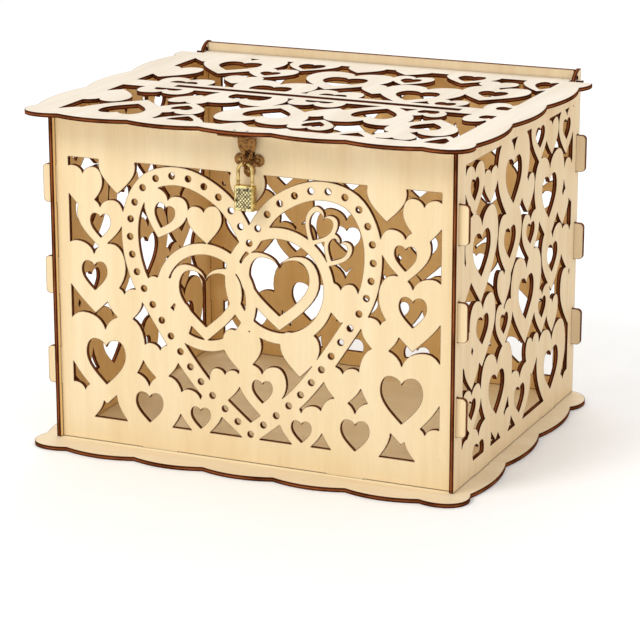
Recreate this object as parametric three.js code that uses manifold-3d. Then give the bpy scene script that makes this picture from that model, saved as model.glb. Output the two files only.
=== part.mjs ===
// Wedding card box: six laser-cut plywood panels, a flap lid on wooden ears, a hasp and a small padlock.
// Millimetres, +Z up, origin at the middle of the base plate's underside, front towards -Y.
import * as THREE from "three";
import { mergeVertices } from "three/addons/utils/BufferGeometryUtils.js";
import Module from "manifold-3d";

const wasm = await Module();
wasm.setup();

// Driving dimensions.
const PLY = 3; // sheet thickness
const GAP = 0.3; // clearance between pieces that touch
const BOX_WIDTH = 300; // over the side panels
const BOX_DEPTH = 247.8; // front edge to back edge of a side panel
const BOX_FRONT = -113.4; // y of the side panels' front edges
const WALL_TOP = 237; // top of the walls, under the lid
const CHEEK_RISE = 10.3; // height of the hinge cheeks over the walls
const CHEEK_DEPTH = 13.4;
const RECESS = 3.3; // front and back panels sit this far inside the side panels' edges
const PLATE_HALF_WIDTH = 165.5; // base and lid, over the scallops
const BASE_HALF_DEPTH = 136.5;
const SCALLOP = 5; // how deep the notches between scallops go
const FRONT_PITCH = 53; // width of one scallop along the front
const SIDE_PITCH = 69; // and along a side
const AXIS_Y = 125.6; // hinge axis of the lid
const LID_BOTTOM = WALL_TOP + GAP;
const AXIS_Z = LID_BOTTOM + PLY / 2;
const EAR_DEPTH = 3; // the lid's ears are as deep as the sheet is thick
const EAR_HOLE_RADIUS = 2.5;
const EAR_HOLE_RISE = 2.3; // straight part of the arched hole
const EAR_END = 154.5; // x of the ears' ends
const TAB_OUT = 157; // x of the tab ends
const TAB_CORNER = 3;
const TAB_HEIGHT = 27;
const TAB_LEVELS = [55.3, 120.5, 186];
const FOOT_HALF = 13.7; // the feet of the walls, in slots of the base
const FRONT_FEET = [-70, 70];
const SIDE_FEET = [-60, 80];
const SLOT_FROM = -104; // the card slot in the lid
const SLOT_TO = 112;
const SLOT_Y = -10;
const SLOT_WIDTH = 7;
const FIRST_NOTCH = -108.5; // y of the frontmost notch along a side
const CURVE_STEPS = 6; // chords along each scallop
const OVER = 1; // how far a cutter runs past the sheet's faces

const side = BOX_WIDTH / 2;
const inner = side - PLY;
const boxBack = BOX_FRONT + BOX_DEPTH;
const wallBottom = PLY + GAP;
const frontFace = BOX_FRONT + RECESS;
const backPanelFace = boxBack - RECESS - PLY;
const sideNotches = [0, 1, 2, 3].map((i) => FIRST_NOTCH + i * SIDE_PITCH);

const wood = { color: 0xe6cfa3, roughness: 0.7, metalness: 0 };
const brass = { color: 0xc9a24a, roughness: 0.3, metalness: 1 };
const bronze = { color: 0x6e4a24, roughness: 0.4, metalness: 1 };
const steel = { color: 0xb9b7b0, roughness: 0.35, metalness: 1 };

const box = new THREE.Group();

// ---- joins and cuts ----

function toSolid(geometry) {
  const bare = geometry.clone();
  bare.deleteAttribute("normal");
  bare.deleteAttribute("uv");
  const merged = mergeVertices(bare, 1e-4);
  const vertProperties = merged.attributes.position.array;
  const triVerts = new Uint32Array(merged.index.array);
  return new wasm.Manifold(new wasm.Mesh({ numProp: 3, vertProperties, triVerts }));
}

function toGeometry(solid) {
  const mesh = solid.getMesh();
  const geometry = new THREE.BufferGeometry();
  geometry.setAttribute("position", new THREE.BufferAttribute(mesh.vertProperties, 3));
  geometry.setIndex(new THREE.BufferAttribute(mesh.triVerts, 1));
  geometry.computeVertexNormals();
  return geometry;
}

function join(solids) {
  return solids.reduce((all, next) => all.add(next));
}

// A flat shape given a thickness from z = from to z = to.
function slab(shape, from, to, curveSegments = 6) {
  const settings = { depth: to - from, bevelEnabled: false, curveSegments };
  return toSolid(new THREE.ExtrudeGeometry(shape, settings).translate(0, 0, from));
}

function block(x0, x1, y0, y1, z0, z1) {
  const geometry = new THREE.BoxGeometry(x1 - x0, y1 - y0, z1 - z0);
  return toSolid(geometry.translate((x0 + x1) / 2, (y0 + y1) / 2, (z0 + z1) / 2));
}

function rod(radius, length, sides = 16) {
  return new THREE.CylinderGeometry(radius, radius, length, sides);
}

function addPiece(name, solid, material, parent = box) {
  const mesh = new THREE.Mesh(toGeometry(solid), new THREE.MeshStandardMaterial(material));
  mesh.name = name;
  parent.add(mesh);
  return mesh;
}

// ---- hearts ----

// Half of a heart, as shares of its width and height from the tip up to the cleft.
const HEART_HALF = [
  [0, 0],
  [0.36, 0.38],
  [0.49, 0.66],
  [0.45, 0.89],
  [0.27, 1],
  [0.09, 0.94],
  [0, 0.83],
];
const SMALL_HEART_HALF = [
  [0, 0],
  [0.45, 0.53],
  [0.46, 0.86],
  [0.22, 1],
  [0, 0.83],
];

// A heart standing on its tip at (x, tip); lean turns it about the tip, in degrees, to the right.
function heartShape({ x, width, top, tip, lean = 0 }) {
  const half = width > 45 ? HEART_HALF : SMALL_HEART_HALF;
  const height = top - tip;
  const turn = THREE.MathUtils.degToRad(-lean);
  const right = half.map(([u, v]) => new THREE.Vector2(u * width, v * height));
  const left = half.slice(1, -1).map(([u, v]) => new THREE.Vector2(-u * width, v * height));
  const points = right.concat(left.reverse());
  for (const point of points) {
    point.rotateAround(new THREE.Vector2(0, 0), turn);
    point.x += x;
    point.y += tip;
  }
  return new THREE.Shape(points);
}

// Each heart is [x, width, top, tip, hole width, hole top, hole tip, lean]; solid hearts stop after the tip.
function heartSlabs(hearts, from, to) {
  return hearts.map(([x, width, top, tip, , , , lean]) =>
    slab(heartShape({ x, width, top, tip, lean }), from, to),
  );
}

function holeSlabs(hearts, from, to) {
  return hearts
    .filter((heart) => heart[4])
    .map(([x, , , tip, width, holeTop, holeTip, lean = 0]) => {
      const up = holeTip - tip;
      const turn = THREE.MathUtils.degToRad(lean);
      const hole = { x: x + up * Math.sin(turn), width, lean };
      hole.tip = tip + up * Math.cos(turn);
      hole.top = hole.tip + (holeTop - holeTip);
      return slab(heartShape(hole), from, to);
    });
}

// Cuts a window out of a sheet and leaves the lattice of hearts standing in it.
function latticeCut(windowSolid, hearts, extras = []) {
  const bars = join(heartSlabs(hearts, -OVER, PLY + OVER).concat(extras));
  const openings = windowSolid.subtract(bars);
  const holes = holeSlabs(hearts, -2 * OVER, PLY + 2 * OVER);
  return holes.length ? openings.add(join(holes).intersect(windowSolid)) : openings;
}

// ---- base and lid plates ----

// Right half of the scalloped outline, from the middle of the front round to the last side notch.
function scallopedFront() {
  const path = new THREE.Path();
  const frontY = -BASE_HALF_DEPTH;
  const notchX = PLATE_HALF_WIDTH - SCALLOP;
  path.moveTo(FRONT_PITCH / 2, frontY + SCALLOP);
  for (const step of [1, 2]) {
    const peak = step * FRONT_PITCH;
    path.quadraticCurveTo(peak, frontY - SCALLOP, peak + FRONT_PITCH / 2, frontY + SCALLOP);
  }
  path.bezierCurveTo(notchX - 9, frontY - 3, notchX + 9, frontY + 8, notchX, FIRST_NOTCH);
  for (const notch of sideNotches.slice(1)) {
    path.quadraticCurveTo(PLATE_HALF_WIDTH + SCALLOP, notch - SIDE_PITCH / 2, notchX, notch);
  }
  return path;
}

// The outline is drawn for the right half and mirrored, then closed by the middle front scallop.
function mirroredShape(half) {
  const points = half.getPoints(CURVE_STEPS);
  const left = points.map((p) => new THREE.Vector2(-p.x, p.y)).reverse();
  const front = new THREE.QuadraticBezierCurve(
    left[left.length - 1],
    new THREE.Vector2(0, points[0].y - 2 * SCALLOP),
    points[0],
  );
  const middle = front.getPoints(CURVE_STEPS).slice(1, -1);
  return new THREE.Shape(points.concat(left, middle));
}

function basePlate() {
  const half = scallopedFront();
  const back = BASE_HALF_DEPTH;
  half.bezierCurveTo(PLATE_HALF_WIDTH + 5, 108, PLATE_HALF_WIDTH + 1, back, PLATE_HALF_WIDTH - 22, back);
  let plate = slab(mirroredShape(half), 0, PLY);
  const long = FOOT_HALF + GAP;
  for (const y of [frontFace, backPanelFace]) {
    for (const x of FRONT_FEET) {
      const slot = block(x - long, x + long, y - GAP, y + PLY + GAP, -OVER, PLY + OVER);
      plate = plate.subtract(slot);
    }
  }
  for (const x of [-side, inner]) {
    for (const y of SIDE_FEET) {
      const slot = block(x - GAP, x + PLY + GAP, y - long, y + long, -OVER, PLY + OVER);
      plate = plate.subtract(slot);
    }
  }
  addPiece("base_plate", plate, wood);
}

// ---- front and back panels: x across, y up in the flat, tabs on all sides but the top ----

// One tab with rounded outer corners, centred on the given height.
function tabShape(root, level, sign) {
  const low = level - TAB_HEIGHT / 2;
  const high = level + TAB_HEIGHT / 2;
  const end = sign * TAB_OUT;
  const straight = sign * (TAB_OUT - TAB_CORNER);
  const tab = new THREE.Shape();
  tab.moveTo(sign * root, low);
  tab.lineTo(straight, low);
  tab.quadraticCurveTo(end, low, end, low + TAB_CORNER);
  tab.lineTo(end, high - TAB_CORNER);
  tab.quadraticCurveTo(end, high, straight, high);
  tab.lineTo(sign * root, high);
  return tab;
}

function crossPanel(top) {
  const edge = inner - GAP;
  let panel = block(-edge, edge, wallBottom, top, 0, PLY);
  for (const sign of [-1, 1]) {
    for (const level of TAB_LEVELS) {
      panel = panel.add(slab(tabShape(edge - OVER, level, sign), 0, PLY, 2));
    }
  }
  for (const x of FRONT_FEET) {
    panel = panel.add(block(x - FOOT_HALF, x + FOOT_HALF, GAP, wallBottom + OVER, 0, PLY));
  }
  return panel;
}

// Stands a flat panel up across the box, its outer face towards -Y at the given y.
function standAcross(mesh, y) {
  mesh.rotation.x = Math.PI / 2;
  mesh.position.y = y + PLY;
}

// The big heart of the front panel: centre line of its right half, cleft to tip.
const bandLine = new THREE.SplineCurve(
  [
    [0, 158.6],
    [18, 184.5],
    [47.5, 199],
    [75.5, 193.5],
    [89.3, 168],
    [86.6, 133],
    [67.5, 98],
    [36.7, 55.8],
    [0, 23.6],
  ].map(([x, y]) => new THREE.Vector2(x, y)),
);
const BAND_WIDTH = 13;
const BAND_STEPS = 18;
const DOT_SPACES = 24;
const DOT_RADIUS = 2.3;
const DOT_SIDES = 5;

// Cleft and tip heights of the band's outer and inner edges.
const BAND_OUTSIDE = [BAND_WIDTH / 2, 171, 13];
const BAND_INSIDE = [-BAND_WIDTH / 2, 151, 32];

// The band's edge on one side of its centre line, kept on the right of the middle and mirrored.
function bandEdge([offset, cleftY, tipY]) {
  const right = [];
  for (let i = 0; i <= BAND_STEPS; i++) {
    const along = bandLine.getPointAt(i / BAND_STEPS);
    const tangent = bandLine.getTangentAt(i / BAND_STEPS);
    const x = along.x - tangent.y * offset;
    const y = along.y + tangent.x * offset;
    if (x > 2) right.push(new THREE.Vector2(x, y));
  }
  const left = right.map((p) => new THREE.Vector2(-p.x, p.y)).reverse();
  const cleft = new THREE.Vector2(0, cleftY);
  const tip = new THREE.Vector2(0, tipY);
  return [cleft].concat(right, [tip], left);
}

function bigHeart() {
  const shape = new THREE.Shape(bandEdge(BAND_OUTSIDE));
  shape.holes.push(new THREE.Path(bandEdge(BAND_INSIDE).reverse()));
  return slab(shape, -OVER, PLY + OVER);
}

function bandDots() {
  const dots = [];
  for (let i = 0; i <= DOT_SPACES; i++) {
    const spot = bandLine.getPointAt(i / DOT_SPACES);
    const isMiddle = i === 0 || i === DOT_SPACES;
    for (const sign of isMiddle ? [1] : [-1, 1]) {
      const dot = rod(DOT_RADIUS, PLY + 4 * OVER, DOT_SIDES).rotateX(Math.PI / 2);
      dots.push(toSolid(dot.translate(sign * spot.x, spot.y, PLY / 2)));
    }
  }
  return join(dots);
}

function ringShape(x, y, radius, width) {
  const shape = new THREE.Shape();
  shape.absarc(x, y, radius, 0, 2 * Math.PI);
  const hole = new THREE.Path();
  hole.absarc(x, y, radius - width, 0, 2 * Math.PI);
  shape.holes.push(hole);
  return shape;
}

// Hearts of the front panel that are mirrored left and right of the big heart.
const frontPairs = [
  [126, 31, 200.6, 169],
  [99.5, 29, 212, 183],
  [113, 37, 178.6, 143, 16, 168, 151],
  [118.5, 50, 147.6, 96.5, 20, 133.6, 113],
  [95.5, 28, 117, 90],
  [111, 63, 96.6, 31, 31, 78, 45.5],
  [68.5, 29, 80, 52],
  [77.5, 53, 57.6, 3, 21.5, 43.6, 22],
  [38, 35, 50, 14, 15.2, 38, 22.6],
  [128, 30, 45, 14],
];
const frontSingles = [
  [-1, 27, 209.6, 181],
  [-68.6, 34, 189, 155.2, 15.5, 180, 163, 16],
  [-31.5, 27, 181, 154.6, 0, 0, 0, -6],
  [-49.5, 26, 111, 83, 0, 0, 0, -20],
  [-19, 24, 68, 44],
  [9, 37, 74, 36.6, 15.5, 63, 47],
  [-6, 30, 97, 66],
  [37, 30, 100, 69],
  [67, 26, 138, 110],
  [-66, 26, 128, 101],
];
// Two wedding rings, linked, each with an open heart in it: [x, y, ring radius, ring width, heart width].
const rings = [
  [-33, 117, 38, 8, 56],
  [22, 131, 40.5, 8, 60],
];
const RING_HEART_STROKE = 7.5;
const RING_HEART_UP = 22;
const RING_HEART_DOWN = 31;
// Two small open hearts at the big heart's upper right: [x, width, top, tip, lean].
const openHearts = [
  [44.6, 24, 188.5, 161.2, 27],
  [58, 21, 171, 148.5, 27],
];
const OPEN_STROKE = 3.5;
const TIP_STROKE = 1.35; // a stroke measures this much more along the axis, at the tip

function openHeart(x, width, top, tip, lean, stroke) {
  const share = 1 - (2 * stroke) / width;
  const height = top - tip;
  const lift = TIP_STROKE * stroke;
  const turn = THREE.MathUtils.degToRad(lean);
  const outside = slab(heartShape({ x, width, top, tip, lean }), -OVER, PLY + OVER);
  const hole = { x: x + lift * Math.sin(turn), width: width * share, lean };
  hole.tip = tip + lift * Math.cos(turn);
  hole.top = hole.tip + height * share;
  return outside.subtract(slab(heartShape(hole), -2 * OVER, PLY + 2 * OVER));
}

function ringPair() {
  return rings.map(([x, y, radius, width, heart]) => {
    const ring = slab(ringShape(x, y, radius, width), -OVER, PLY + OVER, 12);
    const heartInside = openHeart(x, heart, y + RING_HEART_UP, y - RING_HEART_DOWN, 0, RING_HEART_STROKE);
    return ring.add(heartInside);
  });
}

function frontPanel() {
  const windowSolid = block(-137.1, 138.1, 20.6, 206.1, -OVER, PLY + OVER);
  const pairs = frontPairs.concat(frontPairs.map(([x, ...rest]) => [-x, ...rest]));
  const hearts = pairs.concat(frontSingles);
  const small = openHearts.map((heart) => openHeart(...heart, OPEN_STROKE));
  // The inside of the big heart is opened first, so that only its own hearts stand in it.
  const outside = join(heartSlabs(pairs.concat([frontSingles[0]]), -OVER, PLY + OVER));
  const field = slab(new THREE.Shape(bandEdge(BAND_INSIDE)), -2 * OVER, PLY + 2 * OVER);
  const inside = join(heartSlabs(frontSingles.slice(1), -OVER, PLY + OVER).concat(ringPair(), small));
  const bars = outside.subtract(field).add(inside).add(bigHeart());
  const holes = join(holeSlabs(hearts, -2 * OVER, PLY + 2 * OVER)).intersect(windowSolid);
  let panel = crossPanel(WALL_TOP - GAP);
  panel = panel.subtract(windowSolid.subtract(bars)).subtract(holes).subtract(bandDots());
  panel = panel.subtract(plateNailHoles());
  const mesh = addPiece("front_panel", panel, wood);
  standAcross(mesh, frontFace);
}

// ---- side and back lattice: hearts placed by [distance from the front edge, width, top, tip, hole...] ----

const sideHearts = [
  [-81.3, 38, 221, 185, 16, 211, 196],
  [-50.8, 28, 212, 188],
  [-66.5, 64, 187, 123, 34, 172, 141],
  [-6, 66, 226, 161, 33, 210, 178],
  [-11.3, 48, 174, 126, 23.5, 162.5, 140.5],
  [-62.5, 51, 126, 77, 24, 113, 93],
  [-21.5, 28, 136, 108],
  [-20.1, 35, 112, 79, 16, 103.5, 89],
  [-81.5, 30, 95, 66],
  [-81.1, 37, 68, 34, 16, 59, 45],
  [-32.5, 64, 82, 16, 32, 65, 35],
  [-66.5, 51, 38, -12, 22, 25, 5],
  [-15.5, 28, 33, 9],
  [47.5, 39, 233, 195, 19, 221, 206],
  [73.5, 28, 222, 196],
  [105.1, 36, 224, 190, 17, 216, 201],
  [70, 66, 198, 133, 32, 182, 151],
  [24, 28, 192, 165],
  [31, 37, 164, 129, 17, 156, 141],
  [24.5, 65, 136, 70, 32, 119, 88],
  [79.5, 48, 142.5, 95, 23, 130, 109],
  [100.5, 27, 165, 139],
  [59.5, 35, 103, 68, 16.5, 95, 80],
  [82.5, 26, 90, 63],
  [40.5, 29, 72, 42],
  [82.5, 65, 69, 1, 32, 51, 20],
  [15, 48, 56, 8, 22, 42, 22],
  [110.5, 31, 25, -6],
  [118, 34, 187, 152],
  [117, 40, 138, 100],
  [119, 40, 105, 60],
  [-97, 30, 160, 130],
  [-98, 28, 34, 6],
  [-94, 26, 108, 82],
];

// A side panel in the flat: x is depth, y is height.
function sidePanel(name, x) {
  const outline = new THREE.Shape();
  outline.moveTo(BOX_FRONT, wallBottom);
  outline.lineTo(boxBack, wallBottom);
  outline.lineTo(boxBack, WALL_TOP + CHEEK_RISE);
  const cheek = [CHEEK_DEPTH, CHEEK_RISE, Math.PI / 2, Math.PI];
  outline.absellipse(boxBack, WALL_TOP, ...cheek, false, 0);
  outline.lineTo(BOX_FRONT, WALL_TOP);
  let panel = slab(outline, 0, PLY);
  const windowSolid = block(-98.5, 119.5, 15, 223, -OVER, PLY + OVER);
  panel = panel.subtract(latticeCut(windowSolid, sideHearts));
  for (const face of [frontFace, backPanelFace]) {
    for (const level of TAB_LEVELS) {
      const high = level + TAB_HEIGHT / 2 + GAP;
      const low = level - TAB_HEIGHT / 2 - GAP;
      const slot = block(face - GAP, face + PLY + GAP, low, high, -OVER, PLY + OVER);
      panel = panel.subtract(slot);
    }
  }
  for (const y of SIDE_FEET) {
    panel = panel.add(block(y - FOOT_HALF, y + FOOT_HALF, GAP, wallBottom + OVER, 0, PLY));
  }
  const hole = new THREE.Shape();
  hole.absarc(AXIS_Y, AXIS_Z + EAR_HOLE_RISE, EAR_HOLE_RADIUS, 0, Math.PI);
  hole.absarc(AXIS_Y, AXIS_Z, EAR_HOLE_RADIUS, Math.PI, 2 * Math.PI);
  panel = panel.subtract(slab(hole, -OVER, PLY + OVER));
  const mesh = addPiece(name, panel, wood);
  const depthwise = new THREE.Vector3(0, 1, 0);
  const upwards = new THREE.Vector3(0, 0, 1);
  const outwards = new THREE.Vector3(1, 0, 0);
  const turned = new THREE.Matrix4().makeBasis(depthwise, upwards, outwards);
  mesh.quaternion.setFromRotationMatrix(turned);
  mesh.position.x = x;
}

const BACK_WINDOW_HALF = 136;
const BACK_SHIFT = 94; // from the side panel's hearts to the back panel's right half
const backMiddle = [
  [0, 44, 146, 100],
  [0, 68, 84, 20],
];

// The back repeats the side's hearts in each half, mirrored about the middle.
function backPanel() {
  const windowSolid = block(-BACK_WINDOW_HALF, BACK_WINDOW_HALF, 15, 223, -OVER, PLY + OVER);
  const near = sideHearts.filter(([x]) => x < 50);
  const right = near.map(([x, ...rest]) => [x + BACK_SHIFT, ...rest]);
  const left = right.map(([x, ...rest]) => [-x, ...rest]);
  let panel = crossPanel(WALL_TOP + CHEEK_RISE - GAP);
  panel = panel.subtract(latticeCut(windowSolid, right.concat(left, backMiddle)));
  const mesh = addPiece("back_panel", panel, wood);
  standAcross(mesh, backPanelFace);
}

// ---- lid ----

// Hearts behind the card slot; those in front of it are their mirror image about the slot.
const lidHearts = [
  [-98, 64, 114.5, 44.5, 32, 94.5, 59.5],
  [-47, 40, 119, 78, 20, 106.5, 84.5],
  [-63.5, 38, 80, 42, 15, 66.5, 51.5],
  [-2, 66, 87, 20, 33, 67.5, 34.5],
  [-38, 62, 35, -28, 31, 16.5, -14.5],
  [-104, 42, 20, -22, 21, 7.5, -13.5],
  [41, 32, 92, 58, 15, 82.5, 65.5],
  [12.5, 42, 19, -23, 21, 6.5, -14.5],
  [65, 62, 60, -6, 31, 40.5, 6.5],
  [95, 30, 21, -9, 15, 10.5, -4.5],
  [112, 50, 78, 26, 21, 61.5, 39.5],
  [137, 40, 121, 74, 18, 109.5, 81.5],
  [140, 36, 24, -20, 16, 11.5, -4.5],
  [-132, 40, 60, 16],
  [-130, 32, 116, 84],
  [-72, 30, 44, 14],
  [-6, 30, 119, 88],
  [78, 42, 122, 80, 20, 110, 88],
  [35, 34, 52, 18],
  [30, 30, 121, 94],
  [104, 30, 97, 70],
];

const LOBE_BACK = 118.1; // the lid's rear corners stop short of the hinge cheeks
const lidEdge = inner - 0.8;

// The outline's right half ends in an ear that turns in the cheek's hole.
function lidOutline() {
  const half = scallopedFront();
  const rear = AXIS_Y + EAR_DEPTH / 2;
  half.quadraticCurveTo(PLATE_HALF_WIDTH + 1, 106, PLATE_HALF_WIDTH - 1.5, LOBE_BACK);
  half.lineTo(lidEdge, LOBE_BACK);
  half.lineTo(lidEdge, rear - EAR_DEPTH);
  half.lineTo(EAR_END, rear - EAR_DEPTH);
  half.lineTo(EAR_END, rear);
  return mirroredShape(half);
}

// A heart of the lid turned over about the card slot.
function flippedHeart([x, width, top, tip, holeWidth, holeTop, holeTip]) {
  const flip = (y) => 2 * SLOT_Y - y;
  const heart = [x, width, flip(top), flip(tip)];
  return holeWidth ? heart.concat([holeWidth, flip(holeTop), flip(holeTip)]) : heart;
}

function lidPanel() {
  let plate = slab(lidOutline(), 0, PLY);
  const backField = block(-141, 142, 0.5, 109.5, -OVER, PLY + OVER);
  const frontField = block(-141, 142, -118.5, -20.5, -OVER, PLY + OVER);
  plate = plate.subtract(latticeCut(backField, lidHearts));
  plate = plate.subtract(latticeCut(frontField, lidHearts.map(flippedHeart)));
  const near = SLOT_Y - SLOT_WIDTH / 2;
  const far = SLOT_Y + SLOT_WIDTH / 2;
  plate = plate.subtract(block(SLOT_FROM, SLOT_TO, near, far, -OVER, PLY + OVER));
  for (const x of haspHoles) {
    plate = plate.subtract(upright(NAIL_RADIUS + GAP, 8, x, NAIL_Y, PLY / 2));
  }
  addPiece("lid_panel", plate, wood).position.z = LID_BOTTOM;
}

// ---- hasp under the lid's front edge ----

const LATCH_X = 1;
const LEAF_THICKNESS = 0.8;
const LEAF_HALF_WIDTH = 6.8;
const BARREL_RADIUS = 1.7;
const PIN_RADIUS = 0.6;
const BARREL_Y = -114.2;
const BARREL_Z = 234.2;
const LEAF_TOP = LID_BOTTOM - GAP;
const NAIL_RADIUS = 0.6;
const NAIL_Y = -133;
const NAIL_HEAD = 1.2;
const KNUCKLE = 2.4; // half length of the middle knuckle
const KNUCKLE_FROM = KNUCKLE + 0.4; // where the outer knuckles start
const HOLE_STEP = 9.2; // between the fixed leaf's nail holes
const haspHoles = [LATCH_X, LATCH_X + HOLE_STEP];

// A round bar along Z centred at (x, y, z).
function upright(radius, length, x, y, z, sides = 10) {
  return toSolid(rod(radius, length, sides).rotateX(Math.PI / 2).translate(x, y, z));
}

// A round bar along X.
function crosswise(radius, x0, x1, y, z, sides = 16) {
  const bar = rod(radius, x1 - x0, sides).rotateZ(Math.PI / 2);
  return toSolid(bar.translate((x0 + x1) / 2, y, z));
}

// A round bar along Y.
function endwise(radius, length, x, y, z, sides = 16) {
  return toSolid(rod(radius, length, sides).translate(x, y, z));
}

function haspFixedLeaf() {
  const shape = new THREE.Shape();
  const lobe = 3.3;
  const neck = BARREL_Y - 6;
  shape.moveTo(LATCH_X - HOLE_STEP - lobe, NAIL_Y);
  shape.absarc(LATCH_X - HOLE_STEP, NAIL_Y, lobe, Math.PI, 1.5 * Math.PI);
  shape.absarc(LATCH_X + HOLE_STEP, NAIL_Y, lobe, 1.5 * Math.PI, 2 * Math.PI);
  shape.lineTo(LATCH_X + LEAF_HALF_WIDTH, neck);
  shape.lineTo(LATCH_X + LEAF_HALF_WIDTH, BARREL_Y);
  shape.lineTo(LATCH_X - LEAF_HALF_WIDTH, BARREL_Y);
  shape.lineTo(LATCH_X - LEAF_HALF_WIDTH, neck);
  let leaf = slab(shape, LEAF_TOP - LEAF_THICKNESS, LEAF_TOP);
  for (const step of [-HOLE_STEP, 0, HOLE_STEP]) {
    leaf = leaf.subtract(upright(NAIL_RADIUS + GAP, 4, LATCH_X + step, NAIL_Y, LEAF_TOP));
  }
  const knuckles = [
    [LATCH_X - LEAF_HALF_WIDTH, LATCH_X - KNUCKLE_FROM],
    [LATCH_X + KNUCKLE_FROM, LATCH_X + LEAF_HALF_WIDTH],
  ];
  for (const [low, high] of knuckles) {
    leaf = leaf.add(crosswise(BARREL_RADIUS, low, high, BARREL_Y, BARREL_Z));
    leaf = leaf.add(block(low, high, BARREL_Y - LEAF_THICKNESS, BARREL_Y, BARREL_Z, LEAF_TOP));
  }
  leaf = leaf.subtract(pinBore());
  const opening = [LATCH_X - KNUCKLE_FROM, LATCH_X + KNUCKLE_FROM];
  leaf = leaf.subtract(block(...opening, BARREL_Y - 2.2, 0, 0, LEAF_TOP + OVER));
  addPiece("hasp_fixed_leaf", leaf, bronze);
  const pinEnds = [LATCH_X - LEAF_HALF_WIDTH - 0.4, LATCH_X + LEAF_HALF_WIDTH + 0.4];
  addPiece("hasp_hinge_pin", crosswise(PIN_RADIUS, ...pinEnds, BARREL_Y, BARREL_Z, 12), bronze);
}

// The bore for the hinge pin, past both ends of the knuckles.
function pinBore() {
  const past = 2 * LEAF_HALF_WIDTH;
  return crosswise(PIN_RADIUS + GAP, LATCH_X - past, LATCH_X + past, BARREL_Y, BARREL_Z, 12);
}

const LEAF_END = 217.4;
const LEAF_SLOT_TOP = 223;
const LEAF_SLOT_HALF = 1.4;
const LEAF_TAPER_TOP = 229.5; // the leaf narrows from here down to its neck
const LEAF_TAPER_END = 221.4;
const LEAF_NECK_HALF = 3.8;
const LEAF_END_HALF = 3.4;
const LOOP_WIRE = 0.8;

// The swinging leaf: x across, y up in the flat; its slot is open below, round the staple.
function haspSwingLeaf() {
  const wide = LEAF_HALF_WIDTH;
  const shoulder = BARREL_Z - BARREL_RADIUS - 2 * GAP;
  const slotArcZ = LEAF_SLOT_TOP - LEAF_SLOT_HALF;
  const shape = new THREE.Shape();
  shape.moveTo(-wide, LEAF_TAPER_TOP);
  shape.bezierCurveTo(-wide, 224, -5.4, 222.6, -LEAF_NECK_HALF, LEAF_TAPER_END);
  shape.lineTo(-LEAF_END_HALF, LEAF_END);
  shape.lineTo(-LEAF_SLOT_HALF, LEAF_END);
  shape.lineTo(-LEAF_SLOT_HALF, slotArcZ);
  shape.absarc(0, slotArcZ, LEAF_SLOT_HALF, Math.PI, 0, true);
  shape.lineTo(LEAF_SLOT_HALF, LEAF_END);
  shape.lineTo(LEAF_END_HALF, LEAF_END);
  shape.lineTo(LEAF_NECK_HALF, LEAF_TAPER_END);
  shape.bezierCurveTo(5.4, 222.6, wide, 224, wide, LEAF_TAPER_TOP);
  shape.lineTo(wide, shoulder);
  shape.lineTo(KNUCKLE, shoulder);
  shape.lineTo(KNUCKLE, BARREL_Z);
  shape.lineTo(-KNUCKLE, BARREL_Z);
  shape.lineTo(-KNUCKLE, shoulder);
  shape.lineTo(-wide, shoulder);
  const settings = { depth: LEAF_THICKNESS, bevelEnabled: false, curveSegments: 6 };
  const flat = new THREE.ExtrudeGeometry(shape, settings).rotateX(Math.PI / 2);
  let leaf = toSolid(flat.translate(LATCH_X, BARREL_Y + LEAF_THICKNESS / 2, 0));
  leaf = leaf.add(crosswise(BARREL_RADIUS, LATCH_X - KNUCKLE, LATCH_X + KNUCKLE, BARREL_Y, BARREL_Z));
  leaf = leaf.subtract(pinBore());
  addPiece("hasp_swing_leaf", leaf, bronze);
}

// A nail: a domed head and a shank along +Z from its head's underside at the origin.
function nail(shankLength) {
  const profile = [
    [0, -0.6],
    [0.8, -0.5],
    [NAIL_HEAD, 0],
    [NAIL_RADIUS, 0],
    [NAIL_RADIUS, shankLength - 0.8],
    [0, shankLength],
  ].map(([r, y]) => new THREE.Vector2(r, y));
  return new THREE.LatheGeometry(profile, 10).rotateX(Math.PI / 2);
}

function haspNails() {
  haspHoles.forEach((x, i) => {
    const headAt = LEAF_TOP - LEAF_THICKNESS - GAP;
    const length = LID_BOTTOM + PLY - headAt;
    addPiece(`hasp_nail_${i + 1}`, toSolid(nail(length).translate(x, NAIL_Y, headAt)), steel);
  });
}

// ---- staple on the front panel ----

const PLATE_THICKNESS = 0.8;
const PLATE_FACE = frontFace - GAP - PLATE_THICKNESS;
const STAPLE_Z = 216;
const STAPLE_LOW = 212.6;
const STAPLE_HIGH = 220.4;
const STAPLE_OUT = -120.4;
const NAIL_SIDE = 6.6; // from the staple to the nails beside it
const NAIL_DOWN = 7.4;
const LOBE_RADIUS = 4.2;
const staplePlateNails = [
  [LATCH_X - NAIL_SIDE, STAPLE_Z],
  [LATCH_X + NAIL_SIDE, STAPLE_Z],
  [LATCH_X, STAPLE_Z - NAIL_DOWN],
];

// The nails' holes through the front panel, in the flat.
function plateNailHoles() {
  return join(staplePlateNails.map(([x, z]) => upright(NAIL_RADIUS + GAP, 8, x, z, 0, 8)));
}

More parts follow.
